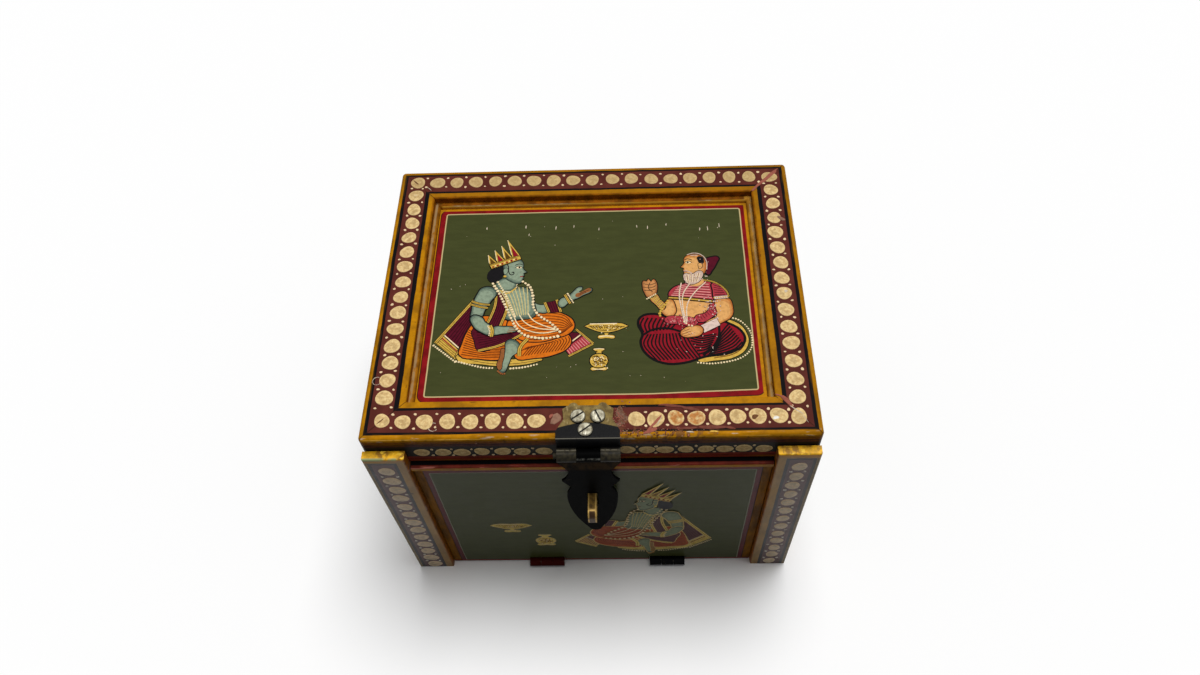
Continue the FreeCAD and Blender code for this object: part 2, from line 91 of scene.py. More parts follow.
COVE = plane_of("lid_cove_back", Z, True) - PANEL_TOP
# A dark knot shows through the left post's paint here, in x and z.
KNOT = -85.6 * MM, 95.5 * MM
# On the lid's front border the discs between these two places are rubbed down.
WORN_FROM, WORN_TO = 34 * MM, 48 * MM
WORN_DOWN = 0.56
# How much the discs and dots of a row differ in size, and how far each may lie from its place.
DISC_VARIES = 0.92, 1.06
DOT_VARIES = 0.75, 1.1
DISC_SLIP = 0.35 * MM
DOT_SLIP = 0.4 * MM


def linear(shade):
    """A colour given as three numbers to 255, as the light values that Blender works in."""
    parts = [c / 255 for c in shade]
    return [c / 12.92 if c <= 0.04045 else ((c + 0.055) / 1.055) ** 2.4 for c in parts]


def deep(shade, share):
    """A darker tone of a colour."""
    return [v * share for v in shade]


def length(name, description, millimetres):
    """A size that a user may change."""
    return FloatProperty(name=name, description=description, default=millimetres * MM, precision=5,
                         unit="LENGTH", subtype="DISTANCE")


def turn(name, description, degrees):
    """An angle that a user may change."""
    return FloatProperty(name=name, description=description, default=math.radians(degrees),
                         unit="ROTATION", subtype="ANGLE")


def ratio(name, description, share):
    """A plain number that a user may change."""
    return FloatProperty(name=name, description=description, default=share, min=0)


def colour(name, description, shade):
    """A colour that a user may change."""
    return FloatVectorProperty(name=name, description=description, default=linear(shade), size=3,
                               min=0, max=1, subtype="COLOR")


class BorderColours(bpy.types.PropertyGroup):
    """Colours of the painted borders and boards."""

    ochre: colour("Ochre", "Strips along the edges", (194, 131, 12))
    ochre_deep: colour("Deep ochre", "Thin or dirty places in the ochre", (126, 82, 16))
    maroon: colour("Maroon", "Ground of the lid's dotted border", (98, 46, 38))
    black: colour("Line black", "Lines beside the borders", (16, 14, 16))
    disc: colour("Disc", "Pale discs of the border", (240, 212, 152))
    disc_deep: colour("Disc shadow", "Thin places in the discs", (206, 170, 114))
    upright_disc: colour("Upright disc", "Discs on the posts", (255, 228, 190))
    disc_worn: colour("Worn disc", "Discs rubbed down to the ground", (198, 126, 62))
    dot: colour("Dot", "Small dots between the discs", (242, 214, 170))
    upright_dot: colour("Upright dot", "Dots on the posts", (255, 248, 232))
    red: colour("Red line", "Line round the green fields", (140, 22, 28))
    dark_red: colour("Dark red", "Lower edge of the lid and the drop front's ledge", (126, 46, 32))
    cream: colour("Cream line", "Thin line round the green fields", (196, 178, 128))
    front_cream: colour("Front cream", "Thin line round the drop front's field", (150, 150, 130))
    # The strip beside the posts is darker than the lid's ochre: partly brown paint, partly painted shade
    # beside the proud posts.
    front_margin: colour("Front margin", "Brown strip beside the posts", (160, 104, 14))
    post_edge: colour("Post edge", "Strip at the posts' outer edges", (120, 100, 54))
    post_strip: colour("Post strip", "Strip at the posts' inner edges", (174, 134, 74))
    # The posts' yellow is brighter than the lid's ochre: partly the tops' own paint, partly a painted
    # highlight.
    post_top: colour("Post top", "Yellow tops of the posts", (250, 188, 14))
    # Painted highlight patches on the posts' tops.
    post_shine: colour("Post shine", "Bright patches on the posts' tops", (255, 208, 60))
    post_lip: colour("Post lip", "Pale paint at the front of the posts' tops", (150, 160, 112))
    cove_rub: colour("Moulding rub", "Worn line along the moulding's top", (196, 166, 122))
    cove_rub_deep: colour("Deep moulding rub", "Darker places in the worn line", (134, 104, 68))
    cove_left: colour("Left moulding", "Brown of the left moulding", (168, 108, 20))
    cove_left_deep: colour("Deep left moulding", "Darker places in it", (112, 66, 12))
    cove_right: colour("Right moulding", "Brown of the right moulding", (190, 136, 44))
    cove_right_deep: colour("Deep right moulding", "Darker places in it", (140, 94, 30))
    cove_grey: colour("Moulding grey", "Rubbed patches on the side mouldings", (158, 132, 94))
    green: colour("Green", "Field behind the figures", (68, 72, 38))
    night: colour("Black green", "Ground of the dots on the lid's edge", (28, 25, 21))
    plum: colour("Plum", "Ground of the dots on the posts", (94, 68, 68))
    lid_side: colour("Lid side", "Brown of the lid's edge below its ochre", (140, 82, 26))
    # Painted highlight colour: the bright line along the lid's edge and the lift of the moulding's ochre; one
    # chip also takes it.
    gleam: colour("Gleam", "Painted highlight along the lid's edge", (236, 188, 84))
    ledge: colour("Ledge", "Strip above the discs on the lid's edge", (66, 34, 36))
    front_line: colour("Front line", "Line round the drop front's field", (92, 24, 30))
    wall: colour("Frame wall", "Inner walls of the lid's frame", (160, 92, 8))
    bare: colour("Bare ground", "Ground and wood under chipped paint", (150, 112, 92))
    chip: colour("Chip", "Pinkish ground in the chips", (160, 92, 76))
    bright_chip: colour("Bright chip", "White ground in the deepest chip", (250, 246, 236))
    scratch: colour("Scratch", "Pale scratches and flecks", (206, 190, 168))
    # Painted highlight along the ledge's rounded nose.
    rail_rub: colour("Ledge highlight", "Painted pink highlight along the ledge's nose", (202, 122, 106))
    scuff: colour("Scuff", "Brown scuffs beside the hasp", (112, 74, 46))
    grime: colour("Grime", "Dirt in the corners", (44, 26, 14))
    wood: colour("Wood", "Bare wood inside the box", (140, 92, 52))
    wood_dark: colour("Wood grain", "Dark grain of the bare wood", (92, 55, 28))


class MetalColours(bpy.types.PropertyGroup):
    """Colours of the hasp, the staple, the hinges and their screws."""

    iron: colour("Iron", "Black of the hinges", (6, 6, 7))
    iron_rub: colour("Rubbed iron", "Specks rubbed through the black", (60, 54, 42))
    red_iron: colour("Red iron", "Hinge that was painted over in red", (62, 12, 8))
    pin: colour("Pin", "The hasp's pin", (52, 48, 38))
    plate: colour("Plate", "Black of the hasp's plate", (9, 9, 10))
    khaki: colour("Khaki", "Worn metal at the plate's top", (124, 106, 62))
    khaki_deep: colour("Deep khaki", "Darker places in the worn metal", (88, 72, 42))
    plate_scratch: colour("Plate scratch", "Scratches in the worn metal", (168, 150, 108))
    # Painted highlight along the plate's fold.
    fold: colour("Fold", "Bright line along the plate's fold", (140, 136, 124))
    olive: colour("Olive", "Upper side of the barrel", (58, 53, 40))
    olive_deep: colour("Deep olive", "Darker places on the barrel", (26, 24, 20))
    # Painted highlight along the barrel's top.
    barrel_gleam: colour("Barrel gleam", "Painted highlight along the barrel", (112, 106, 90))
    # Painted reflection along the barrel's lower edge.
    barrel_lip: colour("Barrel lip", "Bright lower edge of the barrel", (240, 236, 214))
    leaf: colour("Leaf", "Black of the hasp's leaf", (6, 6, 6))
    # Painted highlight on the leaf's knuckle.
    leaf_gleam: colour("Leaf gleam", "Painted highlight on the leaf's knuckle", (110, 110, 104))
    # Brown patches on the leaf below its knuckle.
    leaf_brown: colour("Brown leaf patches", "Brown patches on the leaf below its knuckle", (70, 52, 32))
    leaf_rub: colour("Rubbed leaf", "Specks rubbed through the leaf's black", (64, 56, 44))
    steel: colour("Steel", "Screws and pins", (150, 146, 128))
    steel_deep: colour("Deep steel", "Darker places in the steel", (92, 86, 70))
    steel_streak: colour("Steel streak", "Dark scratches", (74, 68, 54))
    steel_bright: colour("Bright steel", "Bright scratches", (206, 202, 188))
    # Painted shade on the floor of the screws' slots.
    slot: colour("Slot", "Floor of the screws' slots", (18, 15, 12))
    brass: colour("Brass", "Olive brown of the staple", (112, 86, 36))
    brass_deep: colour("Deep brass", "Darker places in the brass", (66, 48, 20))
    # Painted dark reflection on the front of the staple's nose.
    brass_shade: colour("Brass shade", "Dark front of the staple's nose", (44, 26, 14))
    # Painted highlight on the staple's bend.
    brass_bend: colour("Brass bend", "Painted highlight on the staple's bend", (176, 144, 84))
    # Painted highlights along the staple's edges.
    brass_edge: colour("Brass edge", "Bright edges of the staple", (160, 130, 70))
    # Painted pale reflection along the staple's foot.
    brass_foot: colour("Brass foot", "Pale lower edge of the staple", (200, 186, 156))


class BorderSizes(bpy.types.PropertyGroup):
    """Sizes of the painted borders."""

    line: length("Line", "Width of the black lines", 1.2)
    outer_line: length("Outer line", "Outer black line, in from the lid's edge", 3.0)
    inner_line: length("Inner line", "Inner black line, in from the lid's edge", 15.1)
    disc: length("Disc", "Diameter of the lid's discs", 7.4)
    disc_row: length("Disc row", "Middle of the discs, in from the lid's edge", 9.25)
    dab: length("Dab height", "How far a disc of paint stands up", 0.22)
    dot: length("Dot", "Diameter of the small dots", 1.5)
    margin: length("Margin", "Ochre margin round the lid's panel", 3.2)
    red: length("Red line", "Width of the lid's red line", 2.6)
    front_lead: length("Front lead", "How much narrower the margin is at the panel's front", 0.4)
    back_lag: length("Back lag", "How much wider the margin is at the panel's back and right", 0.7)
    corner: length("Corner", "Rounding of the margin's corners", 7.0)
    rim_disc: length("Edge disc", "Height of the discs on the lid's edge", 6.3)
    rim_row: length("Edge row", "Middle of the discs on the lid's edge, down from its top", 12.0)
    rim_ledge: length("Edge ledge", "Top of the strip above the edge's discs, down from the lid's top", 4.9)
    rim_band: length("Edge band", "Top of the discs' dark ground", 6.8)
    rim_red: length("Edge red", "Top of the red strip below the discs", 15.6)
    rim_foot: length("Edge foot", "Top of the brown strip at the seam", 18.4)
    rail_cover: length("Rail cover", "How far down the ledge hides the drop front from above", 3.0)
    cream: length("Cream line", "Width of the cream lines", 0.6)
    wobble: length("Wobble", "How far a painted line wanders", 0.5)
    post_outer: length("Post outer strip", "Ochre strip at the post's outer edge", 1.7)
    post_inner: length("Post inner strip", "Ochre strip at the post's inner edge", 3.9)
    post_head: length("Post head", "Top of the post's dark band, down from the post's top", 3.6)
    post_line: length("Post line", "Dark lines beside the post's discs", 1.5)
    flap_margin: length("Drop front margin", "Brown strip beside the posts", 4.2)
    flap_line: length("Drop front line", "Width of the line round the drop front's field", 2.2)


class FigurePaints:
    """Colours of the painted figures and vessels."""

    cool_skin: colour("Cool skin", "Skin of the crowned figure", (142, 158, 134))
    cool_edge: colour("Cool skin edge", "Shaded edge of the cool skin", (82, 100, 88))
    warm_skin: colour("Warm skin", "Skin of the bearded figure", (226, 168, 100))
    warm_edge: colour("Warm skin edge", "Shaded edge of the warm skin", (188, 112, 50))
    palm: colour("Palm", "Palms, soles and finger lines", (150, 92, 50))
    palm_light: colour("Pale palm", "Raised palm", (204, 140, 84))
    shawl: colour("Shawl", "Maroon shawl", (86, 16, 34))
    gold: colour("Gold", "Borders, bracelets and vessels", (214, 174, 74))
    gold_deep: colour("Deep gold", "Lines on the gold", (96, 66, 18))
    orange: colour("Orange", "Crowned figure's garment", (220, 114, 24))
    orange_deep: colour("Deep orange", "Stripes on the orange", (104, 44, 10))
    crimson: colour("Crimson", "Bearded figure's garment", (146, 22, 36))
    rose: colour("Rose", "Bearded figure's top", (176, 58, 68))
    rose_pale: colour("Pale rose", "Light stripes on the rose", (224, 144, 138))
    pearl: colour("Pearl", "Garlands and hems", (248, 226, 180))
    thread: colour("Thread", "Fine strands over the chest", (206, 190, 130))
    linen: colour("Linen", "Pale cuff", (226, 200, 186))
    beard: colour("Beard", "White beard", (206, 178, 160))
    hair: colour("Hair", "Dark hair", (22, 20, 22))
    line: colour("Outline", "Outlines of the shapes", (16, 12, 13))
    ink: colour("Ink", "Fine dark lines of a face", (16, 12, 13))
    pearl_step: ratio("Pearl step", "From one pearl to the next, in pearls", 1.18)


class LidFigureColours(bpy.types.PropertyGroup, FigurePaints):
    """Colours of the figures on the lid."""


class FrontFigureColours(bpy.types.PropertyGroup, FigurePaints):
    """Colours of the figure on the drop front, which is outlined in pale gold."""

    cool_skin: colour("Cool skin", "Skin of the crowned figure", (152, 162, 132))
    cool_edge: colour("Cool skin edge", "Shaded edge of the cool skin", (108, 116, 96))
    palm: colour("Palm", "Palms, soles and finger lines", (170, 130, 84))
    shawl: colour("Shawl", "Maroon shawl", (84, 52, 52))
    # A paler gold than the lid's: partly the gold's own colour, partly a painted highlight on the gold.
    gold: colour("Gold", "Borders, bracelets and vessels", (255, 226, 130))
    gold_deep: colour("Deep gold", "Lines on the gold", (150, 110, 50))
    orange: colour("Orange", "Crowned figure's garment", (182, 94, 58))
    orange_deep: colour("Deep orange", "Stripes on the orange", (120, 56, 38))
    crimson: colour("Crimson", "Red of the crown", (136, 52, 50))
    rose: colour("Rose", "End of the shawl", (176, 132, 84))
    rose_pale: colour("Pale rose", "Light stripes on the rose", (236, 204, 140))
    line: colour("Outline", "Outlines of the shapes", (232, 204, 140))
    pearl_step: ratio("Pearl step", "From one pearl to the next, in pearls", 1.7)


class StageSettings(bpy.types.PropertyGroup):
    """The camera, the floor and the light."""

    camera: FloatVectorProperty(name="Camera", description="Where the camera stands", size=3,
                                default=(0.01915, -0.2640, 0.4891), unit="LENGTH", subtype="TRANSLATION")
    elevation: turn("Elevation", "How far the camera looks down", 55.88)
    azimuth: turn("Azimuth", "How far the camera stands to the right", 3.55)
    roll: turn("Roll", "How far the camera is tipped", 3.95)
    near: length("Near", "Nearest that the camera sees", 10)
    lens: ratio("Lens", "Focal length in millimetres", 27.66)
    sensor: ratio("Sensor", "Width of the camera's sensor in millimetres", 36)
    ambient: ratio("Ambient", "Light from all round", 0.16)
    lamp: ratio("Lamp", "Strength of the overhead light", 2.8)
    lamp_spread: turn("Lamp spread", "How wide the overhead light is", 34)
    lamp_tilt: turn("Lamp tilt", "How far the light leans to the back", 12)
    lamp_side: turn("Lamp side", "How far the light leans to the right", 8)
    floor_size: length("Floor size", "Width of the floor", 8000)
    floor: colour("Floor", "Floor as it is seen", (252, 252, 252))
    floor_bounce: colour("Floor bounce", "Floor as it lights the box", (90, 90, 88))


def colours():
    """The borders' colours, as they are set now."""
    return bpy.context.scene.box_colours


def metals():
    """The metals' colours, as they are set now."""
    return bpy.context.scene.box_metals


def sizes():
    """The borders' sizes, as they are set now."""
    return bpy.context.scene.box_sizes


class Value:
    """A number or colour that varies over a surface. Arithmetic on it adds Math nodes."""

    def __init__(self, nodes, socket):
        self.nodes = nodes
        self.socket = socket

    def also(self, output):
        """Another output of the same node."""
        return Value(self.nodes, self.socket.node.outputs[output])

    def math(self, operation, *terms):
        """The outcome of a Math node."""
        return self.nodes.add("Math", {"operation": operation}, dict(enumerate(terms)))

    def __add__(self, other):
        return self.math("ADD", self, other)

    def __radd__(self, other):
        return self.math("ADD", other, self)

    def __sub__(self, other):
        return self.math("SUBTRACT", self, other)

    def __rsub__(self, other):
        return self.math("SUBTRACT", other, self)

    def __mul__(self, other):
        return self.math("MULTIPLY", self, other)

    def __rmul__(self, other):
        return self.math("MULTIPLY", other, self)

    def __abs__(self):
        return self.math("ABSOLUTE", self)

    def least(self, other):
        """The smaller of two values."""
        return self.math("MINIMUM", self, other)

    def most(self, other):
        """The larger of two values."""
        return self.math("MAXIMUM", self, other)

    def above(self, edge, soft=0.12 * MM):
        """0 below an edge and 1 above it, with a soft step."""
        spread = {"Value": self, "From Min": edge - soft, "From Max": edge + soft}
        return self.nodes.add("MapRange", {"interpolation_type": "SMOOTHSTEP"}, spread)

    def below(self, edge, soft=0.12 * MM):
        """1 below an edge and 0 above it."""
        return 1 - self.above(edge, soft)

    def between(self, low, high, soft=0.12 * MM):
        """1 between two edges and 0 outside them."""
        return self.above(low, soft) * self.below(high, soft)


class Nodes:
    """The nodes of a material or of the world."""

    def __init__(self, tree):
        self.tree = tree

    def add(self, kind, settings=(), sockets=(), out=0):
        """Add a node: its settings first, then its sockets. Gives back one of its outputs."""
        node = self.tree.nodes.new("ShaderNode" + kind)
        for name, setting in dict(settings).items():
            setattr(node, name, setting)
        for name, given in dict(sockets).items():
            if isinstance(given, Value):
                self.tree.links.new(given.socket, node.inputs[name])
            else:
                node.inputs[name].default_value = given
        return Value(self, node.outputs[out])


class Finish(Nodes):
    """A material in the making: its nodes, the place on the piece, and the colour laid so far."""

    def __init__(self, name, first_colour=None):
        self.material = bpy.data.materials.new(name)
        self.material.use_nodes = True
        super().__init__(self.material.node_tree)
        self.shader = self.tree.nodes["Principled BSDF"]
        self.place = self.add("TexCoord", out="Object")
        self.x = self.add("SeparateXYZ", (), {"Vector": self.place})
        self.y = self.x.also("Y")
        self.z = self.x.also("Z")
        self.colour = first_colour

    def noise(self, size, detail=3, stretch=(1, 1, 1), shift=0.0, rough=0.55):
        """Cloudy values about 0.5, in patches of about the given size."""
        moved = {"Vector": self.place, "Location": (shift, shift * 2, shift * 3), "Scale": stretch}
        at = self.add("Mapping", (), moved)
        cloud = {"Vector": at, "Scale": 1 / size, "Detail": detail, "Roughness": rough}
        return self.add("TexNoise", (), cloud)

    def wander(self, amount, size=14 * MM, shift=0.0):
        """A small sideways drift, as of a hand-drawn line."""
        return (self.noise(size, 2, shift=shift) - 0.5) * (2 * amount)

    def blend(self, mask, under, over):
        """One colour over another, by a mask."""
        parts = {"Factor": mask, 6: self.full(under), 7: self.full(over)}
        return self.add("Mix", {"data_type": "RGBA"}, parts, out=2)

    def full(self, shade):
        """A colour as a colour socket takes it."""
        return shade if isinstance(shade, Value) else (*shade, 1)

    def lay(self, mask, shade):
        """Lay a colour over what is there."""
        self.colour = self.blend(mask, self.colour, shade)

    def mottle(self, light, dark, size, shift=0.0, detail=4, stretch=(1, 1, 1)):
        """Two tones of a paint in soft patches."""
        return self.blend(self.noise(size, detail, stretch, shift).above(0.5, 0.17), light, dark)

    def tones(self, shade, share, *patches):
        """A paint and a darker tone of it in soft patches, given as for mottle."""
        return self.mottle(shade, deep(shade, share), *patches)

    def feed(self, socket, value):
        """Let a value drive one of the shader's sockets."""
        self.tree.links.new(value.socket, self.shader.inputs[socket])

    def set(self, **sockets):
        """Set sockets that are the same all over."""
        for name, value in sockets.items():
            self.shader.inputs[name.replace("_", " ").title().replace("Ior", "IOR")].default_value = value

    def bump(self, height, distance):
        """Raise a fine grain."""
        parts = {"Height": height, "Distance": distance, "Strength": 1.0}
        self.feed("Normal", self.add("Bump", (), parts))

    def varnish(self, gloss=0.4, shine=0.1, relief=0.05 * MM, coat=None):
        """Finish as old varnished paint, with a coat over some of it."""
        if coat:
            self.feed("Coat Weight", coat)
            self.set(coat_roughness=0.4)
        self.feed("Base Color", self.colour)
        self.feed("Roughness", gloss + 0.22 * self.noise(9 * MM, 4, shift=3.1))
        self.set(specular_ior_level=shine)
        grain = self.noise(1.1 * MM, 3, shift=5.0) + 1.5 * self.noise(7 * MM, 2, shift=6.0)
        self.bump(grain, relief)
        return self.material

    def metal(self, roughness, grain, relief, **sockets):
        """Finish as metal, bare or japanned."""
        self.feed("Base Color", self.colour)
        self.feed("Roughness", roughness)
        self.set(**sockets)
        self.bump(grain, relief)
        return self.material


def lid_inset(paint, wobble=True):
    """How far a point lies in from the lid's outer edge, seen from above."""
    across = LID_SIDE - abs(paint.x)
    along = LID_BACK - abs(paint.y)
    inset = across.least(along)
    if wobble:
        inset = inset + paint.wander(sizes().wobble / 2) + paint.wander(sizes().wobble / 5, 3 * MM, 1.7)
    return inset


def ochre(paint, shift=0.0):
    """Brushed ochre, thin and dirty in places."""
    c = colours()
    brushed = paint.tones(c.ochre, 0.84, 1.6 * MM, shift, 5)
    thin = paint.noise(11 * MM, 4, shift=shift + 0.7).above(0.58, 0.14)
    return paint.blend(thin * 0.65, brushed, c.ochre_deep)


def rub_edges(paint, nearness, amount=0.5):
    """Worn and dirty patches where a point is near an edge (1) and not where it is far (0)."""
    c = colours()
    patches = paint.noise(2.4 * MM, 6, shift=8.3)
    paint.lay((patches * nearness).above(1 - amount, 0.08) * 0.5, c.grime)
    chips = paint.noise(4.6 * MM, 6, shift=9.9)
    paint.lay((chips * nearness).above(1.08 - amount, 0.02), c.bare)


def lid_border_paint():
    """The lid's frame: ochre edges, a maroon band between black lines, dark inner walls."""
    c = colours()
    paint = Finish("lid_border_paint")
    paint.colour = ochre(paint)
    paint.lay(paint.x.above(74 * MM, 10 * MM) * 0.35, c.ochre_deep)
    paint.lay(paint.y.above(58 * MM, 4 * MM) * 0.45, c.ochre_deep)
    at_sides = (LID_BACK - abs(paint.y) - LID_SIDE + abs(paint.x)).above(0.0, 0.5 * MM)
    exact = lid_inset(paint, False)
    lay_band(paint, at_sides)
    lay_frame_walls(paint, exact)
    wear_frame(paint, exact, at_sides)
    return paint.varnish(0.34, 0.02)


def lay_band(paint, at_sides):
    """The maroon band between its black lines, which are broader at the lid's sides."""
    c, s = colours(), sizes()
    inset = lid_inset(paint)
    paint.lay(inset.between(s.outer_line, s.inner_line), paint.tones(c.maroon, 0.72, 8 * MM, 2.0))
    for place, swell, more in ((s.outer_line, 0.25, 0.2), (s.inner_line, 0.2, 0.4)):
        width = s.line / 2 + more * MM * at_sides + paint.wander(swell * MM, 30 * MM, 4.4)
        paint.lay(inset.between(place - width, place + width), c.black)


def lay_frame_walls(paint, exact):
    """The frame's dark inner walls, and its outer ones: a painted highlight line, then brown, then a dark
    ledge.
    """
    c = colours()
    inner = exact.above(FRAME_INSIDE - 0.7 * MM, 0.2 * MM) * paint.z.below(LID_TOP - 0.7 * MM, 0.5 * MM)
    back_edge = exact.above(FRAME_INSIDE - 0.9 * MM, 0.4 * MM) * paint.y.above(0.0)
    paint.lay(inner.most(back_edge * 0.85), paint.tones(c.wall, 0.45, 5 * MM, 6.0))
    depth = LID_TOP - paint.z + paint.wander(0.25 * MM)
    outer = exact.below(0.7 * MM, 0.4 * MM)
    # Painted highlight: a bright line along the lid's upper edge, broken into streaks by this noise.
    rubbed = paint.noise(4 * MM, 5, (0.2, 1, 1), 17.0)
    gleam = outer * depth.between(0.5 * MM, 1.2 * MM, 0.3 * MM) * rubbed
    paint.lay(gleam.above(0.44, 0.12) * 0.7, c.gleam)
    paint.lay(outer * depth.above(2.3 * MM, 0.7 * MM), paint.tones(c.lid_side, 0.6, 4 * MM))
    paint.lay(outer * depth.above(4.2 * MM), paint.tones(c.ledge, 0.6, 4 * MM))
    arris = exact.below(1.6 * MM, 0.6 * MM) * depth.below(2.2 * MM, 0.6 * MM)
    streaks = paint.noise(2.2 * MM, 5, (0.22, 1, 1), 15.0).above(0.62, 0.03)
    paint.lay(arris * paint.y.below(LID_FRONT + 3 * MM) * streaks * 0.8, c.scratch)


def wear_frame(paint, exact, at_sides):
    """Worn and dirty edges, cracked mitres, and scuffs beside the hasp."""
    c = colours()
    along = paint.noise(2.4 * MM, 6, (0.16, 1, 1), 21.0)
    worn = along + at_sides * (paint.noise(2.4 * MM, 6, (1, 0.16, 1), 23.0) - along)
    paint.lay(exact.below(2.6 * MM, 0.8 * MM) * worn.above(0.52, 0.07) * 0.5, deep(c.ochre, 0.42))
    rub_edges(paint, exact.below(1.2 * MM, 0.9 * MM), 0.4)
    rub_edges(paint, exact.between(FRAME_INSIDE - 1.6 * MM, FRAME_INSIDE, 0.7 * MM), 0.36)
    mitre = abs((LID_SIDE - abs(paint.x)) - (LID_BACK - abs(paint.y)))
    crack = mitre.below(0.28 * MM, 0.2 * MM) * paint.noise(5 * MM, 4, shift=1.1).above(0.45, 0.08)
    paint.lay(crack * 0.8, c.grime)
    scuffs = paint.noise(2.2 * MM, 6, (1, 0.55, 1), 12.0).above(0.57, 0.03)
    near_hasp = abs(paint.x - 32 * MM).below(20 * MM, 10 * MM) * paint.y.below(-74 * MM, 1.5 * MM)
    paint.lay(scuffs * near_hasp * 0.8, c.scuff)


def lid_rim_paint():
    """The lid's edge: ochre above, a black-green band for the discs, dark red below, bare wood inside."""
    c, s = colours(), sizes()
    paint = Finish("lid_rim_paint")
    paint.colour = ochre(paint, 1.0)
    depth = LID_TOP - paint.z + paint.wander(0.25 * MM)
    paint.lay(depth.above(s.rim_ledge), paint.tones(c.ledge, 0.6, 4 * MM))
    paint.lay(depth.above(s.rim_band), c.night)
    paint.lay(depth.above(s.rim_red), paint.tones(c.dark_red, 0.4, 7 * MM))
    paint.lay(depth.above(s.rim_foot), paint.mottle(c.ochre_deep, c.dark_red, 9 * MM, 3.0))
    paint.lay(lid_inset(paint, False).above(0.8 * MM, 0.3 * MM), bare_wood_colour(paint))
    return paint.varnish(0.36, 0.03)


def bare_wood_colour(paint):
    """Straight grain in two browns."""
    c = colours()
    grain = paint.noise(3 * MM, 5, (0.12, 1, 1), 2.2)
    pores = paint.noise(0.7 * MM, 3, (0.05, 1, 1), 4.2)
    tone = paint.blend(grain.above(0.5, 0.2), c.wood, c.wood_dark)
    return paint.blend(pores.above(0.62, 0.06) * 0.6, tone, deep(c.wood_dark, 0.5))


def bare_wood():
    """Bare wood all over, for what is inside and below."""
    paint = Finish("bare_wood")
    paint.colour = bare_wood_colour(paint)
    return paint.varnish(0.5, 0.05)


def field(paint, inset, widths, line, cream, green_shift=0.0):
    """A green field inside a margin, with a coloured line and a cream line of the given widths round it."""
    c, s = colours(), sizes()
    margin, band, thin = widths
    inset = inset + paint.wander(s.wobble / 2, 22 * MM) + paint.wander(s.wobble / 6, 4 * MM, 2.7)
    paint.lay(inset.above(margin - 0.35 * MM), c.black)
    paint.lay(inset.above(margin), paint.tones(line, 0.6, 6 * MM, 1.5))
    paint.lay(inset.above(margin + band), cream)
    streaks = paint.noise(2.5 * MM, 4, (0.25, 1, 1), 3.0 + green_shift)
    green = paint.blend(streaks.above(0.5, 0.25), c.green, deep(c.green, 0.82))
    paint.lay(inset.above(margin + band + thin), green)
    flecks = paint.noise(2.4 * MM, 2, (1, 0.7, 1), 7.7).above(0.79, 0.012)
    paint.lay(flecks * 0.7, cream)


def rounded_inset(across, along, corner):
    """How far a point lies in from the nearer of two edges, with the corner between them rounded."""
    a, b = (corner - across).most(0.0), (corner - along).most(0.0)
    reach = a * a + b * b
    return corner - reach.math("SQRT", reach) + (across.least(along) - corner).most(0.0)


def lid_panel_paint():
    """The lid's panel: the green field in an ochre margin, with bare wood beneath."""
    c, s = colours(), sizes()
    paint = Finish("lid_panel_paint")
    half_width = LID_SIDE - FRAME_INSIDE
    half_depth = LID_BACK - FRAME_INSIDE
    drift = 0.03 * (paint.x - 28 * MM).most(0.0)
    along = (half_depth - paint.y).least(half_depth + s.front_lead + paint.y - drift)
    inset = rounded_inset(half_width - abs(paint.x), along, s.corner)
    paint.colour = ochre(paint, 2.0)
    field(paint, inset, (s.margin, s.red, s.cream), c.red, c.cream)
    wide = s.margin + s.back_lag
    beyond = paint.x.above(half_width - wide).most(paint.y.above(half_depth - wide))
    paint.lay(beyond, ochre(paint, 2.0))
    paint.lay(paint.z.below(PANEL_TOP - 0.8 * MM), bare_wood_colour(paint))
    return paint.varnish(0.34, 0.02)


def flap_paint():
    """The drop front: the same field, open at the foot, with a painted black shadow along its top and bare
    wood behind.
    """
    c, s = colours(), sizes()
    paint = Finish("drop_front_paint")
    from_rail = RAIL_FOOT - s.rail_cover + s.flap_margin - paint.z
    # The margin's dark brown is partly its own paint and partly painted shade beside the posts.
    paint.colour = paint.tones(c.front_margin, 0.35, 5 * MM, 2.0, 5, (1, 1, 0.3))
    inset = (FLAP_SIDE - abs(paint.x)).least(from_rail)
    field(paint, inset, (s.flap_margin, s.flap_line, s.cream * 0.8), c.front_line, c.front_cream, 4.0)
    paint.lay(paint.z.below(2.4 * MM, 0.3 * MM), c.dark_red)
    # Painted shadow: the top edge, in the gap under the lid's edge, is laid black.
    paint.lay(paint.z.above(FLAP_TOP - 0.5 * MM, 0.2 * MM), c.black)
    behind = paint.y.above(FLAP_FRONT + 0.8 * MM, 0.2 * MM)
    paint.lay(paint.z.below(FLAP_TOP - 0.8 * MM) * behind, bare_wood_colour(paint))
    return paint.varnish(0.3, 0.02, coat=0.24 * inset.above(s.flap_margin))


def rail_paint():
    """The drop front's ledge: dark red on top with a painted pink highlight streaked along its nose, ochre in
    front.
    """
    c = colours()
    paint = Finish("rail_paint")
    paint.colour = ochre(paint, 3.0)
    red = paint.tones(c.dark_red, 0.5, 5 * MM)
    paint.lay(paint.z.above(FLAP_TOP - 0.7 * MM, 0.25 * MM), red)
    # Painted highlight: pink streaks along the ledge's rounded nose.
    rub = paint.noise(2 * MM, 5, (0.12, 1, 1), 2.0).above(0.58, 0.03)
    nose = paint.y.below(RAIL_FRONT + 0.7 * MM, 0.2 * MM) * paint.z.above(FLAP_TOP - 0.9 * MM, 0.2 * MM)
    paint.lay(rub * nose * 0.8, c.rail_rub)
    return paint.varnish(0.3, 0.06)


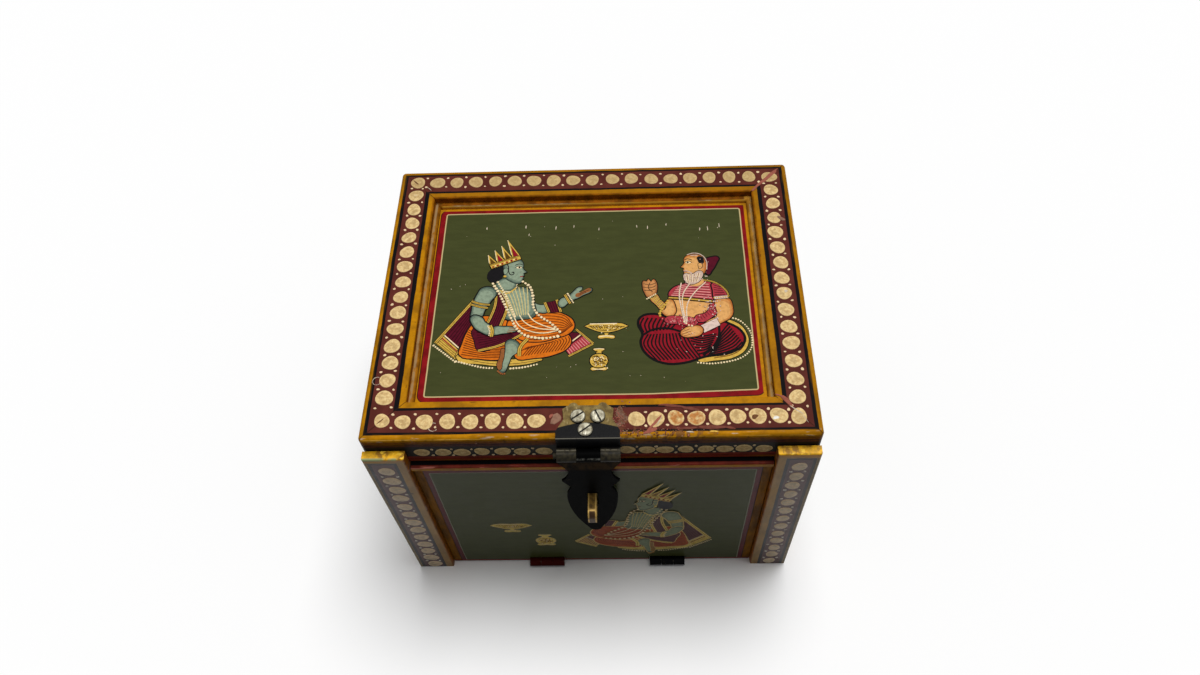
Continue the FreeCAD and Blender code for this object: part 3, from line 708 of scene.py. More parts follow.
def post_paint():
    """A corner post: a plum band between dark lines, ochre strips at its edges, a yellow top."""
    c = colours()
    paint = Finish("post_paint")
    paint.colour = ochre(paint, 5.0)
    drift = paint.wander(0.3 * MM) + paint.wander(0.12 * MM, 4 * MM, 1.2)
    aside = abs(paint.x)
    down = POST_TOP - paint.z + drift
    lay_post_band(paint, aside + drift, down)
    inside = aside.below(POST_INSIDE + 0.5 * MM, 0.3 * MM) * paint.z.below(POST_TOP - 1 * MM, 0.4 * MM)
    paint.lay(inside, paint.tones(c.wall, 0.5, 6 * MM, 1.0))
    lay_post_top(paint, down)
    rub_edges(paint, (aside - POST_INSIDE).least(LID_SIDE - aside).below(0.9 * MM, 0.6 * MM), 0.45)
    across, up = KNOT
    knot = abs(paint.x - across + drift).below(1.5 * MM, 0.6 * MM)
    paint.lay(knot * abs(paint.z - up).below(0.6 * MM, 0.4 * MM), c.grime)
    return paint.varnish(0.34, 0.24)


def lay_post_band(paint, across, down):
    """The plum band, its dark lines and the strips on either side of it."""
    c, s = colours(), sizes()
    low = POST_INSIDE + s.post_inner
    high = LID_SIDE - s.post_outer
    below_head = down.above(s.post_head)
    strip = paint.tones(c.post_strip, 0.6, 5 * MM, 3.4, 5, (1, 1, 0.4))
    paint.lay(paint.y.below(POST_FRONT + 0.4 * MM) * down.above(2.4 * MM, 0.6 * MM), strip)
    paint.lay(across.between(low, high) * below_head, c.black)
    ground = across.between(low + s.post_line, high - s.post_line) * down.above(s.post_head + s.post_line)
    paint.lay(ground, paint.tones(c.plum, 0.6, 6 * MM, 2.4))
    paint.lay(across.above(high + 0.1 * MM) * below_head, paint.tones(c.post_edge, 0.4, 3 * MM))


def lay_post_top(paint, down):
    """The yellow top, partly a painted highlight, brown in patches and with painted highlight patches, and
    the pale paint on its front lip.
    """
    c = colours()
    top = paint.z.above(POST_TOP - 0.5 * MM, 0.3 * MM)
    # The yellow is partly the tops' own paint and partly a painted highlight.
    paint.lay(top, paint.tones(c.post_top, 0.6, 3 * MM, 7.0, 6))
    paint.lay(top * paint.noise(4 * MM, 5, (1, 0.6, 1), 8.0).above(0.56, 0.05) * 0.8, c.ochre_deep)
    # Painted highlight patches on the post's top.
    paint.lay(top * paint.noise(2.4 * MM, 5, (0.5, 1, 1), 10.0).above(0.6, 0.03), c.post_shine)
    lip = paint.y.below(POST_FRONT + 0.8 * MM, 0.3 * MM) * down.below(1.3 * MM, 0.4 * MM)
    paint.lay(lip * paint.noise(9 * MM, 4, shift=11.0).above(0.5, 0.06), c.post_lip)


def wall_paint():
    """The side and back boards: a green field in its border outside, bare wood inside."""
    c, s = colours(), sizes()
    paint = Finish("wall_paint")
    from_top = SEAM - paint.z
    side = abs(paint.x).above(LID_SIDE - 0.6 * MM, 0.2 * MM)
    back = paint.y.above(LID_BACK - 0.6 * MM, 0.2 * MM)
    along_side = LID_BACK - abs(paint.y)
    along_back = LID_SIDE - abs(paint.x)
    edge = along_side + (along_back - along_side) * back
    inset = edge.least(from_top).least(paint.z)
    paint.colour = ochre(paint, 2.0)
    field(paint, inset, (s.flap_margin, s.flap_line, s.cream), c.front_line, c.front_cream, 6.0)
    rub_edges(paint, inset.below(1.0 * MM, 0.8 * MM), 0.45)
    paint.lay(1 - side.most(back), bare_wood_colour(paint))
    return paint.varnish(0.34, 0.1)


def cove_paint():
    """The moulding round the panel: ochre lightened as painted light, with a brown top edge, browner along
    the sides, rubbed grey.
    """
    c = colours()
    paint = Finish("cove_paint")
    # Painted light: the moulding's ochre is mixed three tenths of the way to the highlight colour.
    paint.colour = paint.blend(0.3, ochre(paint, 4.0), c.gleam)
    height = (paint.z - PANEL_TOP) * (1 / COVE) + paint.wander(0.05)
    paint.lay(height.above(0.78, 0.06), paint.tones(c.wall, 0.45, 5 * MM, 6.0))
    rub = paint.mottle(c.cove_rub, c.cove_rub_deep, 3 * MM, 1.0)
    worn = paint.noise(2.4 * MM, 5, (0.16, 1, 1), 2.0).above(0.54, 0.05)
    paint.lay(worn * height.between(0.66, 0.82, 0.06) * 0.8, rub)
    from_frame = LID_SIDE - FRAME_INSIDE - abs(paint.x)
    sides = from_frame.below(3.4 * MM, 0.4 * MM)
    left = paint.mottle(c.cove_left, c.cove_left_deep, 6 * MM, 1.0)
    right = paint.mottle(c.cove_right, c.cove_right_deep, 6 * MM, 1.0)
    paint.lay(sides, paint.blend(paint.x.above(0.0), left, right))
    inward = from_frame * (1 / COVE) + paint.wander(0.12, 9 * MM)
    grey = paint.noise(1.8 * MM, 6, (1, 0.3, 1), 2.0).above(0.44, 0.08)
    paint.lay(sides * inward.between(0.06, 0.55, 0.12) * grey * 0.75, c.cove_grey)
    return paint.varnish(0.4, 0.03)


def disc_paint(name, pale, thin, shine):
    """Pale discs, thin and browner in places, some rubbed down: each disc carries its own wear."""
    c = colours()
    paint = Finish(name)
    worn = paint.add("Attribute", {"attribute_name": WEAR}, out="Fac")
    paint.colour = paint.mottle(pale, thin, 1.4 * MM, 1.0, 5)
    rim = paint.add("Attribute", {"attribute_name": RIM}, out="Fac")
    brown = (paint.noise(2.6 * MM, 5, shift=7.0) - 0.22 * rim).above(0.4, 0.09)
    paint.lay(brown * 0.55, deep(thin, 0.66))
    paint.lay(rim.above(0.84, 0.06) * 0.45, pale)
    specks = paint.noise(0.8 * MM, 5, shift=4.0).above(0.64, 0.04)
    paint.lay(specks * 0.5, deep(thin, 0.6))
    paint.lay(0.05 + 0.45 * paint.y.above(64 * MM, 6 * MM), deep(thin, 0.6))
    gone = (paint.noise(2.0 * MM, 5, shift=6.0) + worn - 0.14 * rim.above(0.8, 0.2)).above(1.0, 0.12)
    paint.lay(gone * 0.9, paint.tones(c.disc_worn, 0.7, 1.2 * MM, 2.0))
    return paint.varnish(0.36, shine)


def dot_paint(name, shade, shine):
    """Small dots, a little thin in places."""
    paint = Finish(name)
    paint.colour = paint.tones(shade, 0.8, 1.5 * MM)
    return paint.varnish(0.36, shine)


def brush_paint(name, shine=0.03):
    """Brushwork: each stroke carries its own colour, a little thin in places."""
    paint = Finish(name)
    shade = paint.add("Attribute", {"attribute_name": PAINT}, out="Color")
    thin = paint.add("VectorMath", {"operation": "SCALE"}, {0: shade, "Scale": 0.74})
    paint.colour = paint.blend(paint.noise(1.6 * MM, 4, shift=2.0).above(0.56, 0.16), shade, thin)
    return paint.varnish(0.42, shine)


def black_iron(name, tint):
    """Black japanned iron, rubbed to bare metal in specks."""
    paint = Finish(name, tint)
    paint.lay(paint.noise(2 * MM, 6, shift=2.0).above(0.68, 0.03) * 0.3, metals().iron_rub)
    rough = 0.34 + 0.2 * paint.noise(5 * MM, 4)
    return paint.metal(rough, paint.noise(1.4 * MM, 3), 0.03 * MM, specular_ior_level=0.025)


def hasp_plate_iron():
    """The hasp's plate: black by the bend, worn to khaki metal beyond a low chevron, its barrel olive."""
    m = metals()
    paint = Finish("hasp_plate_iron", m.plate)
    aside = abs(paint.x - HASP_MIDDLE)
    chevron = LID_FRONT + 6.6 * MM - (aside - 4 * MM).most(0.0) * 0.25
    crown = (paint.y + paint.wander(0.3 * MM)).above(chevron, 0.2 * MM)
    paint.lay(crown, paint.mottle(m.khaki, m.khaki_deep, 3 * MM, 1.0, 6))
    scratches = paint.noise(1.0 * MM, 6, (1, 0.3, 1), 3.0).above(0.63, 0.04)
    paint.lay(scratches * crown * 0.5, m.plate_scratch)
    lay_barrel(paint, aside)
    paint.feed("Metallic", crown * 0.2)
    rough = 0.32 + 0.16 * crown + 0.12 * paint.noise(4 * MM, 4)
    return paint.metal(rough, paint.noise(1.2 * MM, 4), 0.04 * MM, specular_ior_level=0.05)


def lay_barrel(paint, aside):
    """The plate's fold with a painted highlight along it, bright in the middle and fuller at its ends, and
    its barrel with a painted highlight line and a painted reflection along its lower edge.
    """
    m = metals()
    # This noise breaks up the painted highlights and the painted reflection below.
    rubbed = paint.noise(1.6 * MM, 5, shift=5.0)
    # Painted highlight along the fold, fuller towards the plate's ends.
    fold = paint.y.below(LID_FRONT - 0.5 * MM, 0.15 * MM)
    fold = fold * paint.z.between(LID_TOP + 0.72 * MM, LID_TOP + 0.98 * MM)
    ends = 0.34 - 0.2 * aside.above(10.5 * MM, 1.5 * MM)
    paint.lay(fold * (rubbed - ends).above(0.0, 0.08), m.fold)
    barrel = paint.y.below(LID_FRONT - 2 * MM, 0.4 * MM)
    olive = paint.mottle(m.olive, m.olive_deep, 2 * MM, 5.0, 5)
    paint.lay(barrel * paint.z.above(HASP_AXIS - 0.6 * MM, 0.8 * MM), olive)
    # Painted highlight along the top of the barrel.
    gleam = paint.y.between(LID_FRONT - 3.2 * MM, LID_FRONT - 2.6 * MM, 0.15 * MM) * rubbed.above(0.42, 0.08)
    paint.lay(gleam * paint.z.above(HASP_AXIS), m.barrel_gleam)
    # Painted reflection: a bright line along the barrel's lower edge.
    lip = paint.z.between(HASP_AXIS - 2.3 * MM, HASP_AXIS - 1.8 * MM) * rubbed.above(0.46, 0.06)
    paint.lay(barrel * lip, m.barrel_lip)


def hasp_leaf_iron():
    """The hasp's leaf: black, with a painted highlight on its knuckle, and brown in patches below the barrel.
    """
    m = metals()
    paint = Finish("hasp_leaf_iron", m.leaf)
    # Painted highlight on the leaf's knuckle.
    gleam = paint.z.between(HASP_AXIS + 0.9 * MM, HASP_AXIS + 1.7 * MM, 0.3 * MM)
    paint.lay(gleam * paint.noise(2.4 * MM, 5, shift=6.0).above(0.46, 0.1), m.leaf_gleam)
    # Brown in patches from three to ten millimetres below the axis.
    brown_band = paint.z.between(HASP_AXIS - 10 * MM, HASP_AXIS - 3 * MM, 1.5 * MM)
    patches = paint.noise(5 * MM, 5, (1, 1, 0.5), 4.0).above(0.45, 0.15)
    paint.lay(brown_band * patches * 0.8, m.leaf_brown)
    paint.lay(paint.noise(2 * MM, 6, shift=2.0).above(0.7, 0.03) * 0.3, m.leaf_rub)
    rough = 0.34 + 0.2 * paint.noise(5 * MM, 4)
    return paint.metal(rough, paint.noise(1.4 * MM, 3), 0.03 * MM, specular_ior_level=0.006)


def worn_steel():
    """Screw heads and pins: scratched steel, with painted shade in the slots."""
    m = metals()
    paint = Finish("worn_steel")
    paint.colour = paint.mottle(m.steel, m.steel_deep, 2.2 * MM, 1.0, 6)
    streaks = paint.noise(1.1 * MM, 5, (1, 0.2, 1), 3.0)
    paint.lay(streaks.above(0.6, 0.04) * 0.7, m.steel_streak)
    paint.lay(streaks.below(0.36, 0.03) * 0.6, m.steel_bright)
    # Painted shade: the floor of the slots is laid nearly black.
    slot_floor = paint.z.between(LID_TOP + 0.4 * MM, LID_TOP + 2.0 * MM, 0.1 * MM)
    paint.lay(slot_floor * 0.95, m.slot)
    rough = 0.36 + 0.25 * paint.noise(3 * MM, 5)
    return paint.metal(rough, paint.noise(0.8 * MM, 4, (1, 0.3, 1)), 0.03 * MM, metallic=0.8)


def brass_strip():
    """The staple: olive-brown brass, with painted highlights along its edges and its bend, a painted dark
    reflection on its nose and a painted pale reflection at its foot.
    """
    m = metals()
    paint = Finish("brass_strip")
    paint.colour = paint.mottle(m.brass, m.brass_deep, 2 * MM, 1.0, 5)
    # This noise breaks up the painted highlights and reflection on the staple.
    worn = paint.noise(2 * MM, 5, shift=4.0).above(0.4, 0.12)
    behind_nose = paint.y - STAPLE_NOSE
    # Painted light on the staple: a dark reflection on the nose's front, highlights on its bend and edges, a
    # pale reflection at its foot.
    paint.lay(behind_nose.below(2.6 * MM, 0.4 * MM) * 0.9, m.brass_shade)
    paint.lay(behind_nose.between(2.8 * MM, 3.8 * MM, 0.3 * MM) * worn, m.brass_bend)
    paint.lay(abs(paint.x - HASP_MIDDLE).above(1.35 * MM, 0.25 * MM) * worn, m.brass_edge)
    paint.lay(paint.z.below(STAPLE_FOOT + 0.9 * MM, 0.2 * MM) * worn, m.brass_foot)
    rough = 0.34 + 0.25 * paint.noise(2.5 * MM, 5)
    return paint.metal(rough, paint.noise(1.0 * MM, 4), 0.04 * MM, metallic=0.6, specular_ior_level=0.2)


def dress(material, *nodes):
    """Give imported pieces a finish."""
    for node in nodes:
        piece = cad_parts[node]
        piece.data.materials.clear()
        piece.data.materials.append(material)


def of_sides(pattern):
    """The left and right of two paired pieces."""
    return [pattern.format(side) for side in ("left", "right")]


def alone():
    """Leave edit mode and deselect everything."""
    if bpy.context.object and bpy.context.object.mode != "OBJECT":
        bpy.ops.object.mode_set(mode="OBJECT")
    bpy.ops.object.select_all(action="DESELECT")


def face_on(origin, across, up):
    """The matrix of a flat face: across, up and out of it, in the box's frame."""
    across, up = Vector(across), Vector(up)
    turned = Matrix((across, up, across.cross(up))).transposed().to_4x4()
    return Matrix.Translation(origin) @ turned


LID_FACE = face_on((0, 0, LID_TOP), (1, 0, 0), (0, 1, 0))
PANEL_FACE = face_on((0, 0, PANEL_TOP), (1, 0, 0), (0, 1, 0))
RIM_FACES = {
    "front": face_on((0, LID_FRONT, 0), (1, 0, 0), (0, 0, 1)),
    "back": face_on((0, LID_BACK, 0), (-1, 0, 0), (0, 0, 1)),
    "left": face_on((-LID_SIDE, 0, 0), (0, -1, 0), (0, 0, 1)),
    "right": face_on((LID_SIDE, 0, 0), (0, 1, 0), (0, 0, 1)),
}
POST_FACE = face_on((0, POST_FRONT, 0), (1, 0, 0), (0, 0, 1))
FLAP_FACE = face_on((0, FLAP_FRONT, 0), (1, 0, 0), (0, 0, 1))


def model_dab(name, sides, centre=False):
    """A low round dab of paint, one across and one high, to be copied, its top with a centre or plain."""
    alone()
    bpy.ops.mesh.primitive_circle_add(vertices=sides, radius=0.5, fill_type="NGON")
    dab = bpy.context.object
    dab.name = name
    bpy.ops.object.mode_set(mode="EDIT")
    bpy.ops.mesh.select_all(action="SELECT")
    for rise, narrowing in ((0.65, 0.97), (0.35, 0.92)):
        bpy.ops.mesh.extrude_region_move(TRANSFORM_OT_translate={"value": (0, 0, rise)})
        bpy.ops.transform.resize(value=(narrowing, narrowing, 1))
    if centre:
        bpy.ops.mesh.inset(thickness=0.2)
    bpy.ops.object.mode_set(mode="OBJECT")
    return dab


class Stamp:
    """Copies of one small painted shape, laid on faces of the box and joined into one piece."""

    def __init__(self, dab, seed):
        # Blender may number a dab's points otherwise in another run, so they are put in order.
        ordered = sorted(dab.data.vertices, key=lambda v: [round(part, 5) for part in v.co])
        numbers = {v.index: number for number, v in enumerate(ordered)}
        self.corners = [v.co.copy() for v in ordered]
        self.sides = sorted([numbers[i] for i in f.vertices] for f in dab.data.polygons)
        self.points = []
        self.faces = []
        self.marks = []
        self.rims = []
        self.draw = random.Random(seed)

    def press(self, face, across, up, width, height, rise, mark=0.0, ragged=0.05, lean=0.0):
        """One copy, its outline a little out of round."""
        lobes = [self.draw.uniform(0, math.tau) for _ in range(2)]
        turned = Matrix.Rotation(lean, 2)
        first = len(self.points)
        for corner in self.corners:
            angle = math.atan2(corner.y, corner.x)
            swell = 1 + ragged * (math.cos(2 * angle + lobes[0]) + 0.7 * math.cos(3 * angle + lobes[1]))
            flat = turned @ Vector((corner.x * width, corner.y * height)) * swell
            self.points.append(face @ Vector((across + flat.x, up + flat.y, corner.z * rise)))
            self.marks.append(mark)
            self.rims.append(2 * corner.xy.length)
        self.faces += [[first + i for i in side] for side in self.sides]

    def piece(self, name, attribute):
        """The joined copies, each carrying its mark: a number or a colour."""
        mesh = bpy.data.meshes.new(name)
        mesh.from_pydata(self.points, [], self.faces)
        write_marks(mesh, attribute, self.marks)
        if attribute == WEAR:
            write_marks(mesh, RIM, self.rims)
        made = bpy.data.objects.new(name, mesh)
        bpy.context.scene.collection.objects.link(made)
        return made


def write_marks(mesh, attribute, marks):
    """Store a number or a colour on each point of a mesh."""
    if isinstance(marks[0], float):
        mesh.attributes.new(attribute, "FLOAT", "POINT").data.foreach_set("value", marks)
        return
    flat = [part for mark in marks for part in (*mark, 1.0)]
    mesh.color_attributes.new(attribute, "FLOAT_COLOR", "POINT").data.foreach_set("color", flat)


def settle(piece, body, material):
    """Smooth a finished piece, paint it and let it ride on a body of the box."""
    alone()
    piece.select_set(True)
    bpy.context.view_layer.objects.active = piece
    bpy.ops.object.mode_set(mode="EDIT")
    bpy.ops.mesh.select_all(action="SELECT")
    bpy.ops.mesh.normals_make_consistent(inside=False)
    bpy.ops.object.mode_set(mode="OBJECT")
    bpy.ops.object.shade_smooth_by_angle(angle=CREASE)
    piece.data.materials.clear()
    piece.data.materials.append(material)
    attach(piece, body)


def smooth_line(points, steps=8):
    """Points along an easy curve through the given ones."""
    flat = [Vector(p[:2]) for p in points]
    ends = [2 * flat[0] - flat[1], *flat, 2 * flat[-1] - flat[-2]]
    line = []
    for a, b, c, d in zip(ends, ends[1:], ends[2:], ends[3:]):
        for i in range(steps):
            t = i / steps
            bend = (2 * a - 5 * b + 4 * c - d) * t * t + (3 * b - a - 3 * c + d) * t ** 3
            line.append(b + ((c - a) * t + bend) / 2)
    return line + [flat[-1]]


def evenly(points, spacing):
    """Points a set distance apart along an easy curve."""
    line = smooth_line(points)
    found = [line[0]]
    left = spacing
    for start, end in zip(line, line[1:]):
        run = (end - start).length
        while run >= left:
            start = start + (end - start).normalized() * left
            found.append(start)
            run -= left
            left = spacing
        left -= run
    return found


class Brush:
    """Paints shapes on a face, given in millimetres, each a little above the last, as one piece."""

    def __init__(self, name, face, origin, scale, palette, dabs):
        self.name = name
        self.colours = palette
        self.face = face
        self.origin = Vector(origin)
        self.scale = scale
        self.height = 0.0
        self.wet = []
        self.dabs = dabs

    def at(self, point):
        """A drawn point's place on the face, in metres."""
        return Vector([(o + p * s) * MM for o, p, s in zip(self.origin, point, self.scale)])

    def nudge(self, across, up):
        """Move what is painted next."""
        self.origin += Vector((across, up))

    def curve(self, shade, runs, closed):
        """A curve object with one smooth run of one colour, or several, which are made coarser if many."""
        data = bpy.data.curves.new(self.name, "CURVE")
        data.resolution_u = 4 if len(runs) < 3 else 3
        for run in runs:
            spline = data.splines.new("BEZIER")
            spline.bezier_points.add(len(run) - 1)
            spline.use_cyclic_u = closed
            for bend, point in zip(spline.bezier_points, run):
                kind = "VECTOR" if len(point) > 2 else "AUTO"
                bend.co = (*self.at(point), 0)
                bend.handle_left_type = kind
                bend.handle_right_type = kind
        made = bpy.data.objects.new(self.name, data)
        bpy.context.scene.collection.objects.link(made)
        made.location.z = self.height
        self.wet.append((made, list(shade)))
        return data

    def patch(self, shade, points, line=OUTLINE):
        """A filled shape, with an outline over its edge unless the line's width is 0."""
        self.height += LAYER
        data = self.curve(shade, [points], True)
        data.dimensions = "2D"
        data.fill_mode = "BOTH"
        data.extrude = LAYER / 2
        if line:
            self.height += LAYER
            self.draw(self.colours.line, line, [points], True)

    def rounded(self, shade, edge, points, line=OUTLINE):
        """A filled shape that takes another tone towards its edge, as a limb does."""
        flat = [Vector(q[:2]) for q in points]
        middle = sum(flat, Vector((0, 0))) / len(flat)
        for share, light in ((1, 0), (0.88, 0.5), (0.74, 1)):
            inner = [(*middle.lerp(q, share), *p[2:]) for q, p in zip(flat, points)]
            self.patch(Vector(edge).lerp(Vector(shade), light), inner, line if share == 1 else 0)

    def cool_limb(self, points, line=OUTLINE):
        """A limb of a crowned figure."""
        self.rounded(self.colours.cool_skin, self.colours.cool_edge, points, line)

    def warm_limb(self, points, line=OUTLINE):
        """A limb of a bearded figure."""
        self.rounded(self.colours.warm_skin, self.colours.warm_edge, points, line)

    def stroke(self, shade, width, *runs):
        """Lines of one colour and width."""
        self.height += LAYER
        self.draw(shade, width, runs, False)

    def draw(self, shade, width, runs, closed):
        """Flat lines, a little thicker than a patch."""
        data = self.curve(shade, runs, closed)
        data.dimensions = "3D"
        data.bevel_depth = width * MM / 2
        data.bevel_resolution = 0
        data.use_fill_caps = not closed
        self.wet[-1][0].scale.z = 1.5 * LAYER / (width * MM)

    def hatch(self, shade, width, first, last, count):
        """Lines that pass from one guide to another."""
        guides = [smooth_line(g, 3) for g in (first, last)]
        runs = []
        for i in range(count):
            t = i / (count - 1)
            runs.append([a.lerp(b, t) for a, b in zip(*guides)])
        self.stroke(shade, width, *runs)

    def beads(self, shade, size, spacing, points):
        """A string of round dabs."""
        self.height += LAYER
        face = self.face @ Matrix.Translation((0, 0, self.height))
        for bead in evenly(points, spacing):
            across, up = self.at(bead)
            wide = size * MM * self.dabs.draw.uniform(0.85, 1.15)
            self.dabs.press(face, across, up, wide, wide, BEAD_RISE, list(shade), 0.1)

    def flakes(self, shade, size, middle, spread, count):
        """Small flaked spots scattered round a point."""
        self.height += LAYER
        face = self.face @ Matrix.Translation((0, 0, self.height))
        draw = self.dabs.draw
        for _ in range(count):
            across, up = self.at([draw.gauss(m, s) for m, s in zip(middle, spread)])
            long, wide = (size * MM * draw.uniform(0.3, 1) for _ in range(2))
            lean = draw.uniform(0, math.pi)
            self.dabs.press(face, across, up, long, wide, FLAKE_RISE, list(shade), 0.2, lean)

    def piece(self):
        """Turn the curves into meshes and join all the paint."""
        alone()
        for made, _ in self.wet:
            made.select_set(True)
        bpy.context.view_layer.objects.active = self.wet[0][0]
        bpy.ops.object.convert(target="MESH")
        for made, shade in self.wet:
            write_marks(made.data, PAINT, [shade] * len(made.data.vertices))
            made.matrix_world = self.face @ made.matrix_basis
        if self.dabs.points:
            self.dabs.piece(self.name + "_beads", PAINT).select_set(True)
        bpy.ops.object.join()
        whole = bpy.context.object
        whole.name = self.name
        bpy.ops.object.transform_apply(location=True, rotation=True, scale=True)
        return whole


def braid(p, c, width, *runs):
    """A gold edging with an outline and a fine line along it."""
    p.stroke(c.line, width + 0.6, *runs)
    p.stroke(c.gold, width, *runs)
    p.stroke(c.gold_deep, 0.25, *runs)


def garland(p, c, size, points):
    """A string of pearls on a thread."""
    p.stroke(c.gold_deep, size * 0.4, points)
    p.beads(c.pearl, size, size * c.pearl_step, points)


def crowned_figure(p, crown_lean=0, reach=1):
    """A seated figure in a crown, turned to the right with one arm held out."""
    c = p.colours
    trailing_shawl(p, c)
    lap_of_crowned(p, c)
    outstretched_arm(p, c, reach)
    p.cool_limb([
        (-16, 44.5), (-10, 47), (-2, 46), (4, 46), (7.5, 42.5), (9, 36), (9.5, 29), (2, 27), (-5, 27.5),
        (-8.5, 33), (-11, 40)])
    p.patch(c.shawl, [(-9.5, 43), (-5.5, 41), (-4.5, 33), (-7, 23.5), (-14, 22), (-11, 30), (-9.5, 37)], 0)
    p.hatch(deep(c.shawl, 0.4), 0.4, [(-9, 41), (-9.5, 33), (-12.5, 23)], [(-6, 40), (-5.5, 33), (-8, 24)], 5)
    braid(p, c, 1.1, [(-10, 43), (-10, 36), (-12, 28), (-14.3, 22)], [(-5.3, 41.5), (-4.3, 34), (-6.8, 23.5)])
    garlands(p, c)
    resting_arm(p, c)
    crowned_head(p, c, crown_lean)


def trailing_shawl(p, c):
    """The shawl's end, which hangs behind the crowned figure to a gold hem."""
    edges = [(-19.6, 40.4), (-36.8, 14.6)], [(-20.6, 23.5), (-26.6, 5.6)]
    p.patch(c.shawl, [(-20, 40, 1), (-36.8, 14.5, 1), (-26.6, 5.2, 1), (-20.5, 23, 1)])
    p.hatch(deep(c.shawl, 0.4), 0.45, [(-21.5, 36), (-33, 19.5)], [(-21.5, 25), (-25.6, 13)], 7)
    p.patch(c.gold, [(-36.8, 14.5, 1), (-33.5, 18.7, 1), (-25, 10.3, 1), (-26.6, 5.2, 1)])
    p.hatch(c.gold_deep, 0.25, [(-36.4, 14.6), (-26.6, 5.8)], [(-34.6, 17), (-25.6, 8.6)], 4)
    p.stroke(c.crimson, 0.6, [(-34.2, 17.6), (-25.5, 9.2)])
    p.stroke(c.pearl, 0.6, [(-33.2, 19.2), (-24.8, 11)])
    braid(p, c, 1.3, *edges)
    p.beads(c.pearl, 1.05, 1.3, [(-37.4, 13.2), (-26.4, 3.9)])


def lap_of_crowned(p, c):
    """The gold hem with its pearls, the shawl's other end, the legs and one foot."""
    p.patch(c.gold, [(-26.5, 6.5), (-14, 2.2), (0, 1.2), (12, 3.4), (14, 4.6), (0, 5), (-14, 6), (-24, 8.5)])
    p.stroke(c.gold_deep, 0.3, [(-25, 7), (-14, 3.4), (0, 2.4), (12, 4)], [(-24, 7.6), (-14, 4.6), (0, 3.8)])
    for hem in ([(-26, 4.2), (-14, 0.7), (-8, 0.2)], [(-0.6, -0.2), (5, 0.3), (12, 2)]):
        p.beads(c.pearl, 1.05, 1.35, hem)
    p.patch(c.shawl, [(22, 20, 1), (30, 19, 1), (36.5, 13, 1), (26, 6.8, 1), (22, 12, 1)])
    p.patch(c.rose, [(32, 17.2, 1), (36.5, 13, 1), (26, 6.8, 1), (24, 10, 1)])
    p.hatch(c.rose_pale, 0.4, [(32.5, 16.5), (35.5, 13)], [(25, 9.8), (26.5, 7.4)], 9)
    p.stroke(c.pearl, 0.6, [(31.4, 18), (23.6, 11)])
    braid(p, c, 0.9, [(29, 21), (37.2, 12.8)], [(37, 12.6), (25.8, 6)])
    p.patch(c.orange, [(-21, 24), (-24.5, 13), (-25, 7.5), (-16, 5.2), (-4, 5), (2, 9), (5, 16), (0, 24),
                       (-10, 29), (-17, 29)], 0.6)
    p.hatch(c.orange_deep, 0.45, [(-22, 22), (-14, 17), (-3, 15)], [(-24, 8), (-14, 6.2), (-3, 5.8)], 12)
    p.patch(c.orange, [(1, 5.8), (10, 5), (20, 7), (26, 11), (27, 15.5), (24, 19), (16, 17.4), (8, 15.2),
                       (3, 11)], 0.6)
    p.hatch(c.orange_deep, 0.45, [(4, 9.5), (7.5, 11.5), (4.5, 6.5)],
            [(25.5, 17), (26, 14.5), (23.5, 9.5)], 15)
    p.patch(c.orange, [(-3, 27), (6, 30), (16, 31.5), (24, 29.5), (28.3, 24.5), (27, 19.5), (20, 16),
                       (10, 14), (2, 16), (-3, 21)], 0.6)
    p.hatch(c.orange_deep, 0.45, [(0, 27.6), (12, 30.6), (23, 29), (27.4, 23)],
            [(5, 16), (12, 15.4), (19, 17), (24, 20)], 10)
    p.patch(c.shawl, [(-19.5, 22.5), (-12, 22), (-4, 23.5), (3, 19), (-6, 13), (-16, 9.8), (-18.5, 15)])
    p.hatch(deep(c.shawl, 0.4), 0.45, [(-18, 20), (-10, 20), (-2, 20)], [(-15.5, 11.5), (-8, 14), (0, 18)], 7)
    braid(p, c, 1.1, [(-16.3, 9.8), (-6, 12.8), (3.5, 18.5)])
    p.cool_limb([(-3, 15.5), (2, 14.5), (3, 9.5), (0, 6.5), (-1.8, 1), (-3.6, -2.5), (-5.8, -1.5), (-4.8, 4),
                 (-3.8, 10)])
    p.patch(c.palm, [(-4.6, 11), (-3.8, 8), (-4.4, 3), (-5.4, -1), (-7, 1), (-6, 6)], 0.3)
    p.beads(c.palm, 1.0, 0.9, [(-6.2, -1.6), (-4.6, -3), (-2.9, -3)])
    braid(p, c, 1.5, [(3, 6.4), (3.2, 11), (6.4, 16)])


